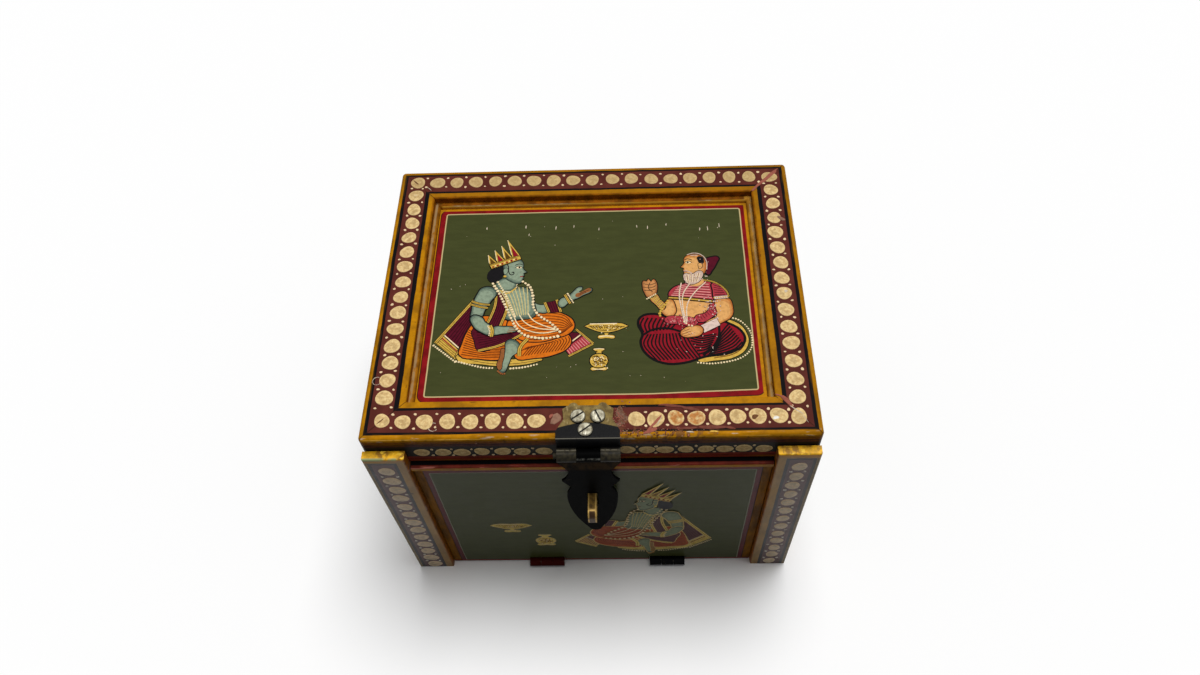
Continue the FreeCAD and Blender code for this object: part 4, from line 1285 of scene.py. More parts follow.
def outstretched_arm(p, c, reach):
    """The arm that is held out, with its sleeve band and open hand."""
    def far(*points):
        """Points of the forearm and hand, drawn in by the reach."""
        return [(20 + (x - 20) * reach, y) for x, y in points]
    p.cool_limb([(7, 37.5), (10, 36), (13, 35.5), (16, 36.5), (15.5, 31), (10, 31), (7, 32)])
    p.patch(c.shawl, [(13.5, 36.5, 1), (19.5, 38, 1), (21.5, 31, 1), (16, 30.6, 1)])
    p.hatch(deep(c.shawl, 0.4), 0.35, [(15, 36.6), (17, 31)], [(18.4, 37.4), (20.4, 31.2)], 4)
    braid(p, c, 1.1, [(13.7, 36.8), (16, 30.8)], [(19.4, 38.3), (21.6, 31)])
    p.cool_limb(far((20.3, 37.6), (24, 39.8), (25.8, 38.2), (24.8, 35.8), (21.3, 33.6)))
    p.cool_limb(far(
        (25.2, 40), (27.3, 43.3), (30.6, 46), (31.8, 45.2), (30, 42.8), (35.6, 45), (36.6, 44), (32, 40.4),
        (27.5, 37.9), (25.3, 37.6)))
    p.patch(c.palm, far((28.3, 41), (31, 42.6), (35.8, 44.4), (32, 41.2), (29, 39.6)), 0)
    p.stroke(c.line, 0.25, far((30.5, 41.8), (35, 43.8)), far((30.3, 41), (33.6, 42.3)))
    braid(p, c, 1.1, far((23.2, 41.2), (24.6, 38.4), (26, 35.8)))
    p.beads(c.pearl, 0.9, 1.0, far((24.6, 41.6), (27.4, 36.2)))


def garlands(p, c):
    """Pearls and fine threads from the neck over the chest to the knee."""
    p.hatch(c.thread, 0.5, [(-9.6, 47), (-5, 38.5), (-1, 29)], [(4.8, 46), (5.6, 38), (6, 29.6)], 8)
    p.stroke(c.pearl, 0.55, [(-1, 29.6), (2, 23.6), (8, 20), (14, 19), (20, 20.2)],
             [(6, 30.5), (8, 27), (13, 23.6), (19.6, 21)], [(2, 29.5), (4.6, 25.4), (11, 21.8), (19, 20.8)])
    p.stroke(c.pearl, 0.5, [(-8.6, 48), (-4, 43.4), (0, 46.6)], [(-7.6, 49), (-3.4, 45), (0, 48)])
    p.stroke(c.gold, 0.7, [(-9.5, 46.4), (-5, 42.6), (-0.5, 45.8)])
    garland(p, c, 1.5, [(-12, 48.6), (-8.3, 42), (-4.6, 34), (-1.6, 27), (1.2, 21.5), (6, 17.5), (14, 16),
                        (22, 17.2)])
    garland(p, c, 1.5, [(2.5, 49.5), (6.3, 46), (7.9, 40), (8.4, 34), (11.4, 29), (17, 24.5), (22, 18.8)])
    garland(p, c, 1.2, [(-9.6, 49.4), (-6.2, 43), (-2.8, 35), (0, 28)])


def resting_arm(p, c):
    """The nearer arm, its hand laid on the lap."""
    p.cool_limb([(-17.5, 46), (-12.5, 46.6), (-9.5, 43), (-12, 38), (-14.6, 32.5), (-16, 28.6), (-20.6, 27.5),
                 (-21.4, 33), (-20.8, 38), (-19.2, 43)], 0.6)
    p.cool_limb([
        (-21, 29.5), (-16, 29), (-14, 26), (-11.2, 23.6), (-11.2, 18.6), (-15.6, 19.8), (-20, 23.8)], 0.6)
    p.cool_limb([
        (-10.4, 22.6), (-5, 23.2), (0.2, 22.4), (1.4, 20.8), (-2, 19.4), (-6, 18.8), (-10.6, 18.6)])
    p.stroke(c.palm, 0.4, [(-2.5, 22.2), (0.8, 21.6)], [(-3, 21), (0.8, 20.6)], [(-3.4, 19.9), (-0.8, 19.8)])
    braid(p, c, 0.9, [(-21.6, 38.2), (-17.5, 36.6), (-12.6, 35.8)],
          [(-21.8, 36.4), (-17.5, 34.8), (-13.4, 34)])
    braid(p, c, 1.5, [(-11.6, 23.8), (-10.4, 20.6), (-10.6, 17.4)])
    p.beads(c.pearl, 0.8, 0.9, [(-12.6, 23.4), (-11.6, 20.4), (-11.8, 17.6)])


def crowned_head(p, c, crown_lean):
    """Hair, neck, face, earring and crown."""
    p.patch(c.hair, [(-12.5, 61), (-7, 63), (-5.5, 60), (-6, 57), (-7.5, 53.5), (-8, 50.8), (-11, 49),
                     (-14.6, 51), (-15, 55), (-13.2, 58)], 0)
    p.cool_limb([(-9.5, 50), (-1.5, 51), (-1, 46.2), (-4.8, 44), (-10, 46.6)], 0)
    p.cool_limb([(-7, 62.5), (-1, 64), (1.8, 62), (2.5, 59.4), (2.4, 57.8), (4.5, 55.2, 1), (2.9, 54.4),
                 (3.2, 53.2), (2.6, 52.5), (2.9, 51.6), (2.4, 50.6), (2.2, 49.2), (0.4, 48.2), (-3.4, 49.6),
                 (-6.2, 52), (-7.4, 57)], 0.35)
    p.patch(c.cool_skin, [(-7, 57.6), (-5.4, 57.8), (-5.2, 55.5), (-6.4, 54), (-7.2, 55.2)], 0.3)
    p.beads(c.gold, 1.6, 2, [(-6.4, 52.8), (-6.4, 51.2)])
    p.stroke(c.hair, 0.5, [(-5.8, 61), (-5, 58.4), (-4.7, 55.6), (-3.6, 53.8), (-2.2, 54.2), (-2.4, 55.4),
                           (-3.2, 55.2)])
    calm_face(p, c, 1, -0.4, 58)
    crown(p, c, crown_lean)


def calm_face(p, c, way, x, y):
    """A plain brow, eye and mouth in profile, turned to the right (1) or left (-1)."""
    def at(across, up, *corner):
        """A point beside the eye."""
        return (x + way * across, y + up, *corner)
    p.stroke(c.ink, 0.4, [at(-1.4, 1.6), at(0.6, 2.4), at(2.3, 1.9)])
    p.patch(c.pearl, [at(-0.9, 0.1, 1), at(0.6, 0.9), at(2.1, 0.1, 1), at(0.7, -0.5)], 0)
    p.beads(c.ink, 0.95, 2, [at(0.8, 0.2), at(0.9, 0.2)])
    p.stroke(c.ink, 0.34, [at(-1.3, 0.1), at(0.6, 1.05), at(2.3, 0.2)])
    p.stroke(c.crimson, 0.5, [at(1.4, -5.5), at(2.9, -5.4)])


def crown(p, c, lean):
    """Four points on a band, their tips leaning by a distance."""
    back, front = Vector((-14.6, 60.2)), Vector((0.2, 66.0))
    out = (front - back).orthogonal().normalized()
    out = out if out.y > 0 else -out
    rises = (6.5, 8.0, 9.5, 12.0)
    for i, rise in enumerate(rises):
        left = back.lerp(front, i / len(rises))
        right = back.lerp(front, (i + 1) / len(rises))
        tip = left.lerp(right, 0.35) + out * rise + Vector((lean, 0))
        p.patch(c.gold, [(*left, 1), (*tip, 1), (*right, 1)])
        middle = (left + right) / 2
        inner = [(*middle.lerp(point, 0.62), 1) for point in (left, tip, right)]
        p.patch(c.crimson if i % 2 else c.gold_deep, inner, 0.25)
        p.stroke(c.pearl, 0.3, [left.lerp(tip, 0.15), left.lerp(tip, 0.95)])
    p.patch(c.gold, [(*back, 1), (*front, 1), (1.2, 63.2, 1), (-13.2, 57.4, 1)])
    p.stroke(c.gold_deep, 0.35, [(-14, 59.8), (0.4, 65.4)], [(-13, 57.9), (1, 63.5)])
    p.beads(c.crimson, 1.1, 2.4, [(-12.6, 58.8), (0.4, 64.2)])
    p.beads(c.pearl, 0.7, 2.4, [(-11.4, 59.3), (-0.6, 63.8)])


def leaning_crown_figure(p):
    """The crowned figure with its crown's points leaning back and a shorter reach."""
    crowned_figure(p, -3.6, 0.72)


def bearded_figure(p):
    """A seated figure with a white beard, turned to the left with one hand raised."""
    c = p.colours
    belt = [(-9.8, 36.4), (0, 35.4), (11, 33.8)]
    striped_lap(p, c)
    p.warm_limb([
        (-9.5, 37), (10.5, 36), (12, 30), (8.5, 25), (0, 23), (-8, 24), (-11.5, 28), (-10.5, 33)])
    p.patch(c.rose, [(-10, 37), (-8.5, 41.5), (-3, 44.5), (6, 46), (12, 44.5), (13, 38), (11, 34), (0, 35.4),
                     (-9, 36)], 0.6)
    p.hatch(c.rose_pale, 0.6, [(-8.5, 37.8), (0, 37.2), (11, 35.8)], [(-5, 43), (2, 44.4), (10, 44)], 6)
    p.hatch(deep(c.rose, 0.35), 0.3, [(-8.3, 38.6), (0, 38), (11, 36.6)],
            [(-4.6, 43.4), (2, 44.8), (10, 44.4)], 6)
    p.stroke(c.line, 2.3, belt)
    p.stroke(c.gold_deep, 1.5, belt)
    p.stroke(c.gold, 0.6, belt)
    raised_arm(p, c)
    lowered_arm(p, c)
    p.patch(c.rose, [(-12, 24.4), (-4, 25.2), (3, 23), (3, 20.4), (-6, 20.8), (-12, 22.2)], 0.3)
    p.hatch(deep(c.rose, 0.4), 0.4, [(-11, 24), (-10, 22)], [(2, 22.8), (2, 20.8)], 7)
    bearded_head(p, c)
    cords = ([(-3.4, 44.6), (-4.6, 38), (-4, 30), (-2.6, 21)],
             [(0.5, 44), (-2.8, 38), (-3.2, 30), (-1.8, 21)], [(8.5, 45), (2.5, 38.4), (-1, 32), (-1.6, 22)])
    p.stroke(c.linen, 0.6, *cords)
    for cord in cords:
        p.beads(c.pearl, 0.6, 1.2, cord)
    p.beads(c.pearl, 1.0, 1.5, [(-3, 22), (-1, 20), (2, 19.4)])
    p.flakes(c.linen, 0.9, (11, 31), (2.2, 3.4), 40)
    p.flakes(c.rose_pale, 1.0, (-3, 22.4), (5, 1.3), 46)
    p.flakes(c.linen, 0.7, (6, 12), (9, 6), 22)


def striped_lap(p, c):
    """The bearded figure's striped lap on its gold hem."""
    p.patch(c.gold, [(14, 22.5), (21, 22), (26.3, 15.5), (26.2, 8), (21, 2.6), (10, 0.2), (2, 0.8), (4, 5),
                     (14, 8)])
    p.stroke(c.orange_deep, 0.4, [(17, 21.5), (24.5, 15), (24.6, 9), (19.5, 4), (10, 1.8)])
    p.beads(c.pearl, 0.95, 1.35, [(15, 24), (22.5, 23), (27.9, 16), (27.7, 7), (21.6, 1.2), (10, -1.2),
                                  (2, -0.6)])
    p.patch(c.crimson, [(-25, 21.5), (-23.5, 25.5), (-17, 27), (-9, 24.5), (0, 24.5), (8, 24), (18, 21),
                        (24.6, 15), (24.4, 9.5), (18, 4.6), (6, 2.6), (-4, -0.6), (-14, -0.4), (-21.4, 4.5),
                        (-24, 11), (-23, 15.5)], 1.3)
    p.hatch(c.line, 0.85, [(-22.2, 25), (-23.8, 21), (-22.4, 16.5)], [(-6, 23.8), (-8, 20), (-10, 18)], 9)
    p.hatch(c.line, 0.78, [(-20.4, 15.5), (-22.4, 9.5), (-16.5, 0.9)], [(-3, 16), (0, 8.6), (4, 1.8)], 13)
    p.hatch(c.line, 0.85, [(7, 3.4), (14, 4.4), (20, 6.6), (23.8, 10.4)],
            [(12, 10), (13.4, 14), (16, 18), (18, 20.4)], 9)
    p.hatch(c.line, 0.85, [(-3, 17), (4, 14), (12, 15)], [(3, 4), (6, 5), (8.5, 7)], 8)
    p.stroke(c.line, 1.2, [(-23, 15), (-18, 18), (-11, 18.6), (-4, 16.4)],
             [(13.5, 21), (13, 14), (10, 8), (5, 3.2)])


def raised_arm(p, c):
    """The arm that is raised, wound with bands, with its palm shown."""
    across_elbow, across_wrist = [(-12, 32.8), (-14.4, 29.8)], [(-15.8, 38), (-18.6, 35.8)]
    p.warm_limb([
        (-9, 35.6), (-12, 33.6), (-14, 30), (-13, 26.8), (-9.6, 25), (-6.8, 27), (-6.6, 31.4)])
    p.warm_limb([
        (-16, 38.8), (-13.8, 35.2), (-11.4, 32.4), (-13.2, 29), (-16.2, 32), (-19, 36.6)])
    p.hatch(c.line, 0.95, across_elbow, across_wrist, 6)
    p.hatch(c.gold, 0.6, across_elbow, across_wrist, 6)
    p.rounded(c.palm_light, c.palm, [(-19.8, 36.4), (-16.2, 38.2), (-15, 42), (-15.8, 46.8), (-17, 47.8),
                                     (-18, 46.4), (-19.4, 48), (-20.6, 46.6), (-21.8, 47), (-22.6, 43.4),
                                     (-21.6, 39.2)])
    p.stroke(c.line, 0.32, [(-15.8, 45.4), (-18.6, 44.2), (-22, 45)],
             [(-15.8, 43.6), (-18.8, 42.4), (-22.2, 43)], [(-16.2, 41.6), (-18.8, 40.8), (-21.6, 41)],
             [(-17.6, 40), (-19.6, 42.4), (-18.6, 45.6)])
    p.beads(c.pearl, 0.9, 1.0, [(-20.4, 35.8), (-16, 38.6)])
    p.beads(c.gold, 1.3, 1.4, [(-10.4, 34.4), (-12, 31.4), (-14.4, 27.6), (-14, 24.4)])


def lowered_arm(p, c):
    """The sleeve and the arm that rests on the lap."""
    p.patch(c.rose, [(12, 44.8), (16.5, 42), (18.8, 37.5), (18.5, 35.4), (12.5, 35), (11.5, 40)], 0.7)
    p.hatch(deep(c.rose, 0.3), 0.5, [(12.2, 43.5), (15.6, 42)], [(12.6, 36), (18.4, 36.6)], 6)
    braid(p, c, 0.7, [(6, 46.8), (13, 45), (18.2, 40), (19.4, 36.5)])
    p.patch(c.rose, [(11.5, 33), (13.5, 28), (11, 24.6), (4, 21.6), (2, 24.5), (8, 27.5)], 0.5)
    p.hatch(deep(c.rose, 0.4), 0.45, [(10.5, 31), (13, 28)], [(3.5, 25), (4.6, 22.4)], 8)
    p.warm_limb([
        (13, 35.2), (19, 35.6), (21, 30), (20, 24.5), (14.6, 20.8), (7.6, 17), (6, 20), (12.6, 25)])
    p.patch(c.linen, [(12.6, 24, 1), (4.7, 19.8, 1), (6.2, 15.6, 1), (14.2, 19.8, 1)], 0.3)
    p.warm_limb([(5.6, 18.8), (1, 20), (-3.6, 18.2), (-5.2, 15.4), (-4, 13.6), (0, 13.2), (5.2, 15)])
    p.stroke(c.palm, 0.4, [(-0.5, 18), (-4, 16.4)], [(0, 16.6), (-4.4, 15)], [(0.5, 15.2), (-3.4, 14)])
    p.stroke(c.line, 2.1, [(12.2, 35.6), (18.9, 36.2)])
    p.stroke(c.linen, 1.5, [(12.2, 35.6), (18.9, 36.2)])
    p.beads(c.gold, 0.8, 1.1, [(12.2, 35.6), (18.9, 36.2)])


def bearded_head(p, c):
    """Cap, neck, face, hair and beard."""
    across, up = 1.0, -0.8
    p.nudge(across, up)
    p.patch(c.shawl, [(7.5, 59.5), (11, 61.5), (15, 61.2), (14, 57.5), (11.5, 53), (9, 50.2), (7.6, 54)], 0.7)
    p.patch(c.warm_skin, [(-1, 48), (5, 49), (6.5, 45.6), (-1, 44.8)], 0)
    p.warm_limb([(1.4, 63.2), (6, 62.5), (8.6, 58), (8.2, 53), (5, 49), (0, 47.8), (-2.2, 48.6), (-2.5, 50.4),
                 (-3, 51.6), (-2.6, 52.5), (-3.2, 53.4), (-2.8, 54.5), (-4.5, 55.3, 1), (-2.5, 58),
                 (-2.6, 60), (-1.4, 62.2)], 0.35)
    p.patch(c.hair, [(4.2, 61.4), (6.6, 61.6), (7.6, 59.2), (6.8, 57.2), (5.2, 57.6), (4.4, 59.4)], 0)
    p.stroke(c.beard, 0.5, [(-0.8, 63), (2.6, 64), (6.4, 62.8), (8.7, 59), (8.6, 53.6)],
             [(1, 62.6), (4.6, 62.6)])
    p.patch(c.beard, [(-2.5, 51.4), (1, 51), (4.4, 53), (6.4, 52.4), (5.8, 48), (3, 45.2), (-0.5, 44.8),
                      (-2.9, 47.5)], 0.3)
    p.hatch(c.pearl, 0.3, [(-2, 50.4), (-1.4, 45.8)], [(5.2, 51.6), (3.6, 46.4)], 7)
    p.hatch(c.palm, 0.25, [(-1.4, 50.4), (-0.8, 45.8)], [(4.6, 51.6), (3, 46.4)], 4)
    p.patch(c.warm_skin, [(4.8, 57.6), (6.4, 57.2), (6.3, 54.9), (5.1, 54), (4.5, 55.6)], 0.3)
    calm_face(p, c, -1, 0.2, 58)
    p.stroke(c.beard, 0.6, [(-2.8, 52.9), (-1, 52.8), (1.2, 51.4)])
    p.flakes(c.linen, 0.8, (3, 48), (2.6, 1.6), 24)
    p.flakes(c.beard, 0.6, (3, 56), (2.4, 3.0), 16)
    p.nudge(-across, -up)


def footed_dish(p):
    """A shallow dish on a foot."""
    c = p.colours
    p.patch(c.gold, [(-4.2, -6.7), (0, -5.2), (4.2, -6.8), (0, -7.4)], 0.4)
    p.patch(c.gold, [(-1.2, -3.6, 1), (1.4, -3.6, 1), (0.8, -5.8, 1), (-0.8, -5.8, 1)], 0.4)
    p.patch(c.gold, [(-10.6, -0.4, 1), (-7.6, 1.1), (0, 1.2), (7.2, 1.1), (10.6, -0.6, 1), (7.4, -2.3),
                     (2.4, -4.0), (-2.4, -4.0), (-7.4, -2.1)], 0.5)
    p.hatch(c.gold_deep, 0.45, [(-7.6, -0.5), (-6, -1.7)], [(7.4, -0.9), (5.6, -2.1)], 12)
    p.stroke(c.gold_deep, 0.4, [(-8.4, -0.4), (0, -0.3), (8.6, -0.9)], [(-5, -2.4), (0, -2.9), (5, -2.6)])
    p.stroke(c.pearl, 0.55, [(-7.8, 0.9), (0, 0.9), (5, 0.9)], [(-3.4, -6.5), (0, -6), (3.4, -6.6)])
    p.flakes(c.pearl, 0.8, (0, -1.4), (4, 0.9), 20)
    p.flakes(c.gold_deep, 0.8, (0.6, -1.4), (4, 1), 20)


def round_pot(p):
    """A round pot with a flared neck."""
    c = p.colours
    p.patch(c.gold, [(-3.4, -3.6), (0, -4.2), (3.4, -3.6), (3.8, -5), (0, -5.2), (-3.8, -5)], 0.4)
    p.patch(c.gold, [(-1.8, 2.8), (-1.3, 4.6), (-2.8, 6.2), (0, 6.6), (2.8, 6.2), (1.3, 4.6), (1.8, 2.8)],
            0.4)
    p.patch(c.gold, [(-4.3, 0), (-3, 2.8), (0, 3.7), (3, 2.8), (4.3, 0), (3, -3), (0, -4), (-3, -3)], 0.5)
    p.hatch(c.gold_deep, 0.45, [(-3.2, 1.8), (-1, 2.4), (0.4, 1.2)], [(-1.6, -2.8), (1, -1.8), (3.2, -2)], 6)
    p.hatch(c.gold_deep, 0.35, [(3.2, 1.6), (1.6, 2.2)], [(-1, -3.2), (-3, -1.4)], 5)
    p.beads(c.pearl, 0.7, 1.4, [(-3.4, 0.6), (0, 1.4), (3.4, 0.6)])
    p.flakes(c.gold_deep, 1.2, (0.6, 0.2), (1.8, 1.8), 16)
    p.flakes(c.pearl, 1.1, (-0.2, -0.8), (1.9, 1.7), 16)
    p.stroke(c.pearl, 0.45, [(-2.4, 6.1), (0, 6.4), (2.4, 6.1)], [(-3, -4.6), (0, -4.8), (3, -4.6)])


class PAINTBOX_OT_stage(bpy.types.Operator):
    """Set out the pale floor, the soft overhead light and the camera"""

    bl_idname = "paintbox.stage"
    bl_label = "Stage"

    def execute(self, context):
        stage = context.scene.box_stage
        alone()
        bpy.ops.mesh.primitive_plane_add(size=stage.floor_size)
        floor = context.object
        floor.name = "floor"
        floor.data.materials.append(self.floor_finish(stage))
        self.light(context, stage)
        self.stand_camera(context, stage)
        context.scene.view_settings.view_transform = "Standard"
        return {"FINISHED"}

    def seen(self, nodes):
        """1 for what the camera sees, straight or in a shine, and 0 for what lights the box."""
        path = nodes.add("LightPath", out="Is Camera Ray")
        return path.most(path.also("Is Glossy Ray")).most(path.also("Is Transmission Ray"))

    def floor_finish(self, stage):
        """White to the eye, and darker for the light that it throws up."""
        finish = Finish("floor")
        shown = finish.add("BsdfDiffuse", (), {"Color": (*stage.floor, 1)})
        bounced = finish.add("BsdfDiffuse", (), {"Color": (*stage.floor_bounce, 1)})
        mixed = finish.add("MixShader", (), {0: self.seen(finish), 1: bounced, 2: shown})
        output = finish.tree.nodes["Material Output"]
        finish.tree.links.new(mixed.socket, output.inputs["Surface"])
        return finish.material

    def light(self, context, stage):
        """Dim light from all round, white to the eye, and a broad lamp overhead."""
        world = bpy.data.worlds.new("studio")
        context.scene.world = world
        world.use_nodes = True
        sky = Nodes(world.node_tree)
        strength = stage.ambient + self.seen(sky) * (1 - stage.ambient)
        background = sky.tree.nodes["Background"]
        background.inputs["Color"].default_value = (1, 1, 1, 1)
        sky.tree.links.new(strength.socket, background.inputs["Strength"])
        bpy.ops.object.light_add(type="SUN", location=(0, 0, 1))
        lamp = context.object
        lamp.name = "overhead_light"
        lamp.rotation_euler = Euler((-stage.lamp_tilt, stage.lamp_side, 0))
        lamp.data.energy = stage.lamp
        lamp.data.angle = stage.lamp_spread

    def stand_camera(self, context, stage):
        """The camera, aimed by its elevation, azimuth and roll."""
        bpy.ops.object.camera_add()
        camera = context.object
        camera.name = "camera"
        aim = Matrix.Rotation(stage.azimuth, 4, "Z")
        aim = aim @ Matrix.Rotation(math.pi / 2 - stage.elevation, 4, "X")
        aim = aim @ Matrix.Rotation(-stage.roll, 4, "Z")
        camera.matrix_world = Matrix.Translation(stage.camera) @ aim
        camera.data.lens = stage.lens
        camera.data.sensor_width = stage.sensor
        camera.data.clip_start = stage.near
        context.scene.camera = camera


class PAINTBOX_OT_boards(bpy.types.Operator):
    """Paint the lid, the carcass and the drop front"""

    bl_idname = "paintbox.boards"
    bl_label = "Boards"

    def execute(self, context):
        quarters = ("front", "back", "left", "right")
        dress(lid_border_paint(), *["lid_frame_" + q for q in quarters])
        dress(lid_rim_paint(), *["lid_rim_" + q for q in quarters])
        dress(cove_paint(), *["lid_cove_" + q for q in quarters])
        dress(lid_panel_paint(), "lid_panel")
        dress(wall_paint(), "left_wall", "right_wall", "back_wall")
        dress(post_paint(), "left_post", "right_post", "post_brads")
        dress(flap_paint(), "flap_panel")
        dress(rail_paint(), "flap_top_rail")
        dress(bare_wood(), "bottom_board", "left_front_stile", "right_front_stile")
        return {"FINISHED"}


class PAINTBOX_OT_ironwork(bpy.types.Operator):
    """Finish the hasp, the staple, the hinges and their screws"""

    bl_idname = "paintbox.ironwork"
    bl_label = "Ironwork"

    def execute(self, context):
        m = metals()
        iron = black_iron("black_iron", m.iron)
        dress(hasp_plate_iron(), "hasp_lid_plate")
        dress(hasp_leaf_iron(), "hasp_leaf")
        dress(iron, *of_sides("{}_lid_hinge_lower_leaf"), *of_sides("{}_lid_hinge_upper_leaf"))
        dress(iron, "right_flap_hinge_fixed_leaf", "right_flap_hinge_moving_leaf")
        red_iron = black_iron("red_iron", m.red_iron)
        dress(red_iron, "left_flap_hinge_fixed_leaf", "left_flap_hinge_moving_leaf")
        dress(black_iron("pin_iron", m.pin), "hasp_pin")
        dress(worn_steel(), "hasp_screws", "lid_hinge_pins", "flap_hinge_pins",
              "lid_hinge_lower_screws", "lid_hinge_upper_screws", "flap_hinge_fixed_screws",
              "flap_hinge_moving_screws")
        dress(brass_strip(), "staple")
        return {"FINISHED"}


class PAINTBOX_OT_discs(bpy.types.Operator):
    """Dab the discs and dots of the borders"""

    bl_idname = "paintbox.discs"
    bl_label = "Discs and dots"

    def execute(self, context):
        self.disc_dab = model_dab("disc", 20, True)
        self.dot_dab = model_dab("dot", 8)
        c = colours()
        dots = dot_paint("dot_paint", c.dot, 0.03)
        flat = disc_paint("disc_paint", c.disc, c.disc_deep, 0.03), dots
        rim = disc_paint("rim_disc_paint", c.disc, c.disc_deep, 0.05), dots
        upright = (disc_paint("upright_disc_paint", c.upright_disc, deep(c.upright_disc, 0.8), 0.3),
                   dot_paint("upright_dot_paint", c.upright_dot, 0.36))
        self.border_lid(flat)
        self.border_rim(rim)
        self.border_posts(upright)
        for dab in (self.disc_dab, self.dot_dab):
            bpy.data.objects.remove(dab)
        return {"FINISHED"}

    def border_lid(self, finishes):
        """The rows on the lid's top, as uneven as a hand leaves them, with a gap for the hasp."""
        s = sizes()
        side, back, front = LID_SIDE - s.disc_row, LID_BACK - s.disc_row, LID_FRONT + s.disc_row
        rows = [
            ((-side, back + 1.2 * MM), (side, back), 19, 0, 19),
            ((-side, back + 1.6 * MM), (-side, front + 2.2 * MM), 16, 1, 15),
            ((side, back), (side, front), 16, 1, 15),
            ((-side, front), (-22.7 * MM, front - 1.0 * MM), 8, 0, 8),
            ((20.2 * MM, front - 0.6 * MM), (side - 0.6 * MM, front), 9, 0, 9),
        ]
        self.lay_rows("lid", "lid", finishes, LID_FACE, rows, s.disc, 11)

    def border_rim(self, finishes):
        """The rows round the lid's edge: two in front, one on each other side."""
        s = sizes()
        middle = LID_TOP - s.rim_row
        near_left, near_right = HASP_MIDDLE - 20 * MM, HASP_MIDDLE + 16.5 * MM
        rows = [((-74 * MM, middle), (near_left, middle), 7, 0, 7),
                ((near_right, middle), (75.5 * MM, middle), 8, 0, 8)]
        self.lay_rows("rim_front", "lid", finishes, RIM_FACES["front"], rows, s.disc, 12, s.rim_disc)
        sides = (("back", LID_SIDE, 22, 35, s.dab), ("left", LID_BACK, 17, 30, LAYER),
                 ("right", LID_BACK, 17, 30, LAYER))
        for name, half, count, seed, rise in sides:
            reach = half - 6 * MM
            row = [((-reach, middle), (reach, middle), count, 0, count)]
            face = RIM_FACES[name]
            self.lay_rows("rim_" + name, "lid", finishes, face, row, s.disc, seed, s.rim_disc, rise)

    def border_posts(self, finishes):
        """The upright row on each post."""
        s = sizes()
        top, foot, count = 119 * MM, 4.4 * MM, 13
        posts = ("left", -91 * MM, 7.9 * MM, 45), ("right", 91.4 * MM, 6.6 * MM, 46)
        for name, across, wide, seed in posts:
            row = [((across, top), (across, foot), count, 0, count)]
            self.lay_rows(name + "_post", "carcass", finishes, POST_FACE, row, wide, seed, s.disc)

    def lay_rows(self, name, body, finishes, face, rows, width, seed, height=None, rise=None):
        """Rows of discs on one face, with two dots in every gap.

        A row is given by its ends, the discs from end to end, the first one laid and the one past the last.
        """
        s = sizes()
        rise = rise or s.dab
        discs, dots = Stamp(self.disc_dab, seed), Stamp(self.dot_dab, seed + 500)
        draw = random.Random(seed)
        for start, end, count, first, last in rows:
            start, end = Vector(start), Vector(end)
            step = (end - start) / (count - 1)
            aside = step.orthogonal().normalized() * (height or width) * 0.44
            for i in range(first, last):
                middle = start + step * i + self.slip(draw, DISC_SLIP)
                wide = width * draw.uniform(*DISC_VARIES)
                tall = (height or width) * draw.uniform(*DISC_VARIES)
                wear = draw.choice((0.0, 0.0, 0.0, 0.05, 0.15))
                if WORN_FROM < middle.x < WORN_TO and middle.y < 0:
                    wear = WORN_DOWN
                discs.press(face, middle.x, middle.y, wide, tall, rise, wear)
            for i in range(max(first - 1, 0), min(last, count - 1)):
                for way in (-1, 1):
                    spot = start + step * (i + 0.5) + aside * way + self.slip(draw, DOT_SLIP)
                    size = s.dot * draw.uniform(*DOT_VARIES)
                    dots.press(face, spot.x, spot.y, size, size * draw.uniform(0.7, 1), rise, 0.0, 0.12)
        settle(discs.piece(name + "_discs", WEAR), body, finishes[0])
        settle(dots.piece(name + "_dots", WEAR), body, finishes[1])

    def slip(self, draw, reach):
        """A small slip of the hand."""
        return Vector((draw.uniform(-reach, reach), draw.uniform(-reach, reach)))


class PAINTBOX_OT_figures(bpy.types.Operator):
    """Paint the seated figures, the footed dishes and the pots"""

    bl_idname = "paintbox.figures"
    bl_label = "Figures and vessels"

    def execute(self, context):
        bead = model_dab("bead", 8)
        palettes = {"lid": context.scene.lid_figures, "drop_front": context.scene.front_figures}
        finishes = {"lid": brush_paint("figure_paint", 0.03),
                    "drop_front": brush_paint("front_figure_paint", 0.11)}
        scenes = (
            ("lid_crowned_figure", "lid", crowned_figure, PANEL_FACE, (-36, -40), (1, 1)),
            ("lid_bearded_figure", "lid", bearded_figure, PANEL_FACE, (46.6, -38), (0.98, 1)),
            ("lid_dish", "lid", footed_dish, PANEL_FACE, (7.2, -17), (1, 1)),
            ("lid_pot", "lid", round_pot, PANEL_FACE, (3.8, -36.5), (1, 1)),
            ("front_crowned_figure", "drop_front", leaning_crown_figure, FLAP_FACE, (23, 13.4),
             (-0.95, 1.12)),
            ("front_dish", "drop_front", footed_dish, FLAP_FACE, (-44, 50), (1, 1.2)),
            ("front_pot", "drop_front", round_pot, FLAP_FACE, (-28, 29), (1.2, 1.2)),
        )
        for seed, (name, body, draw, face, origin, scale) in enumerate(scenes):
            brush = Brush(name, face, origin, scale, palettes[body], Stamp(bead, seed))
            draw(brush)
            settle(brush.piece(), body, finishes[body])
        bpy.data.objects.remove(bead)
        return {"FINISHED"}


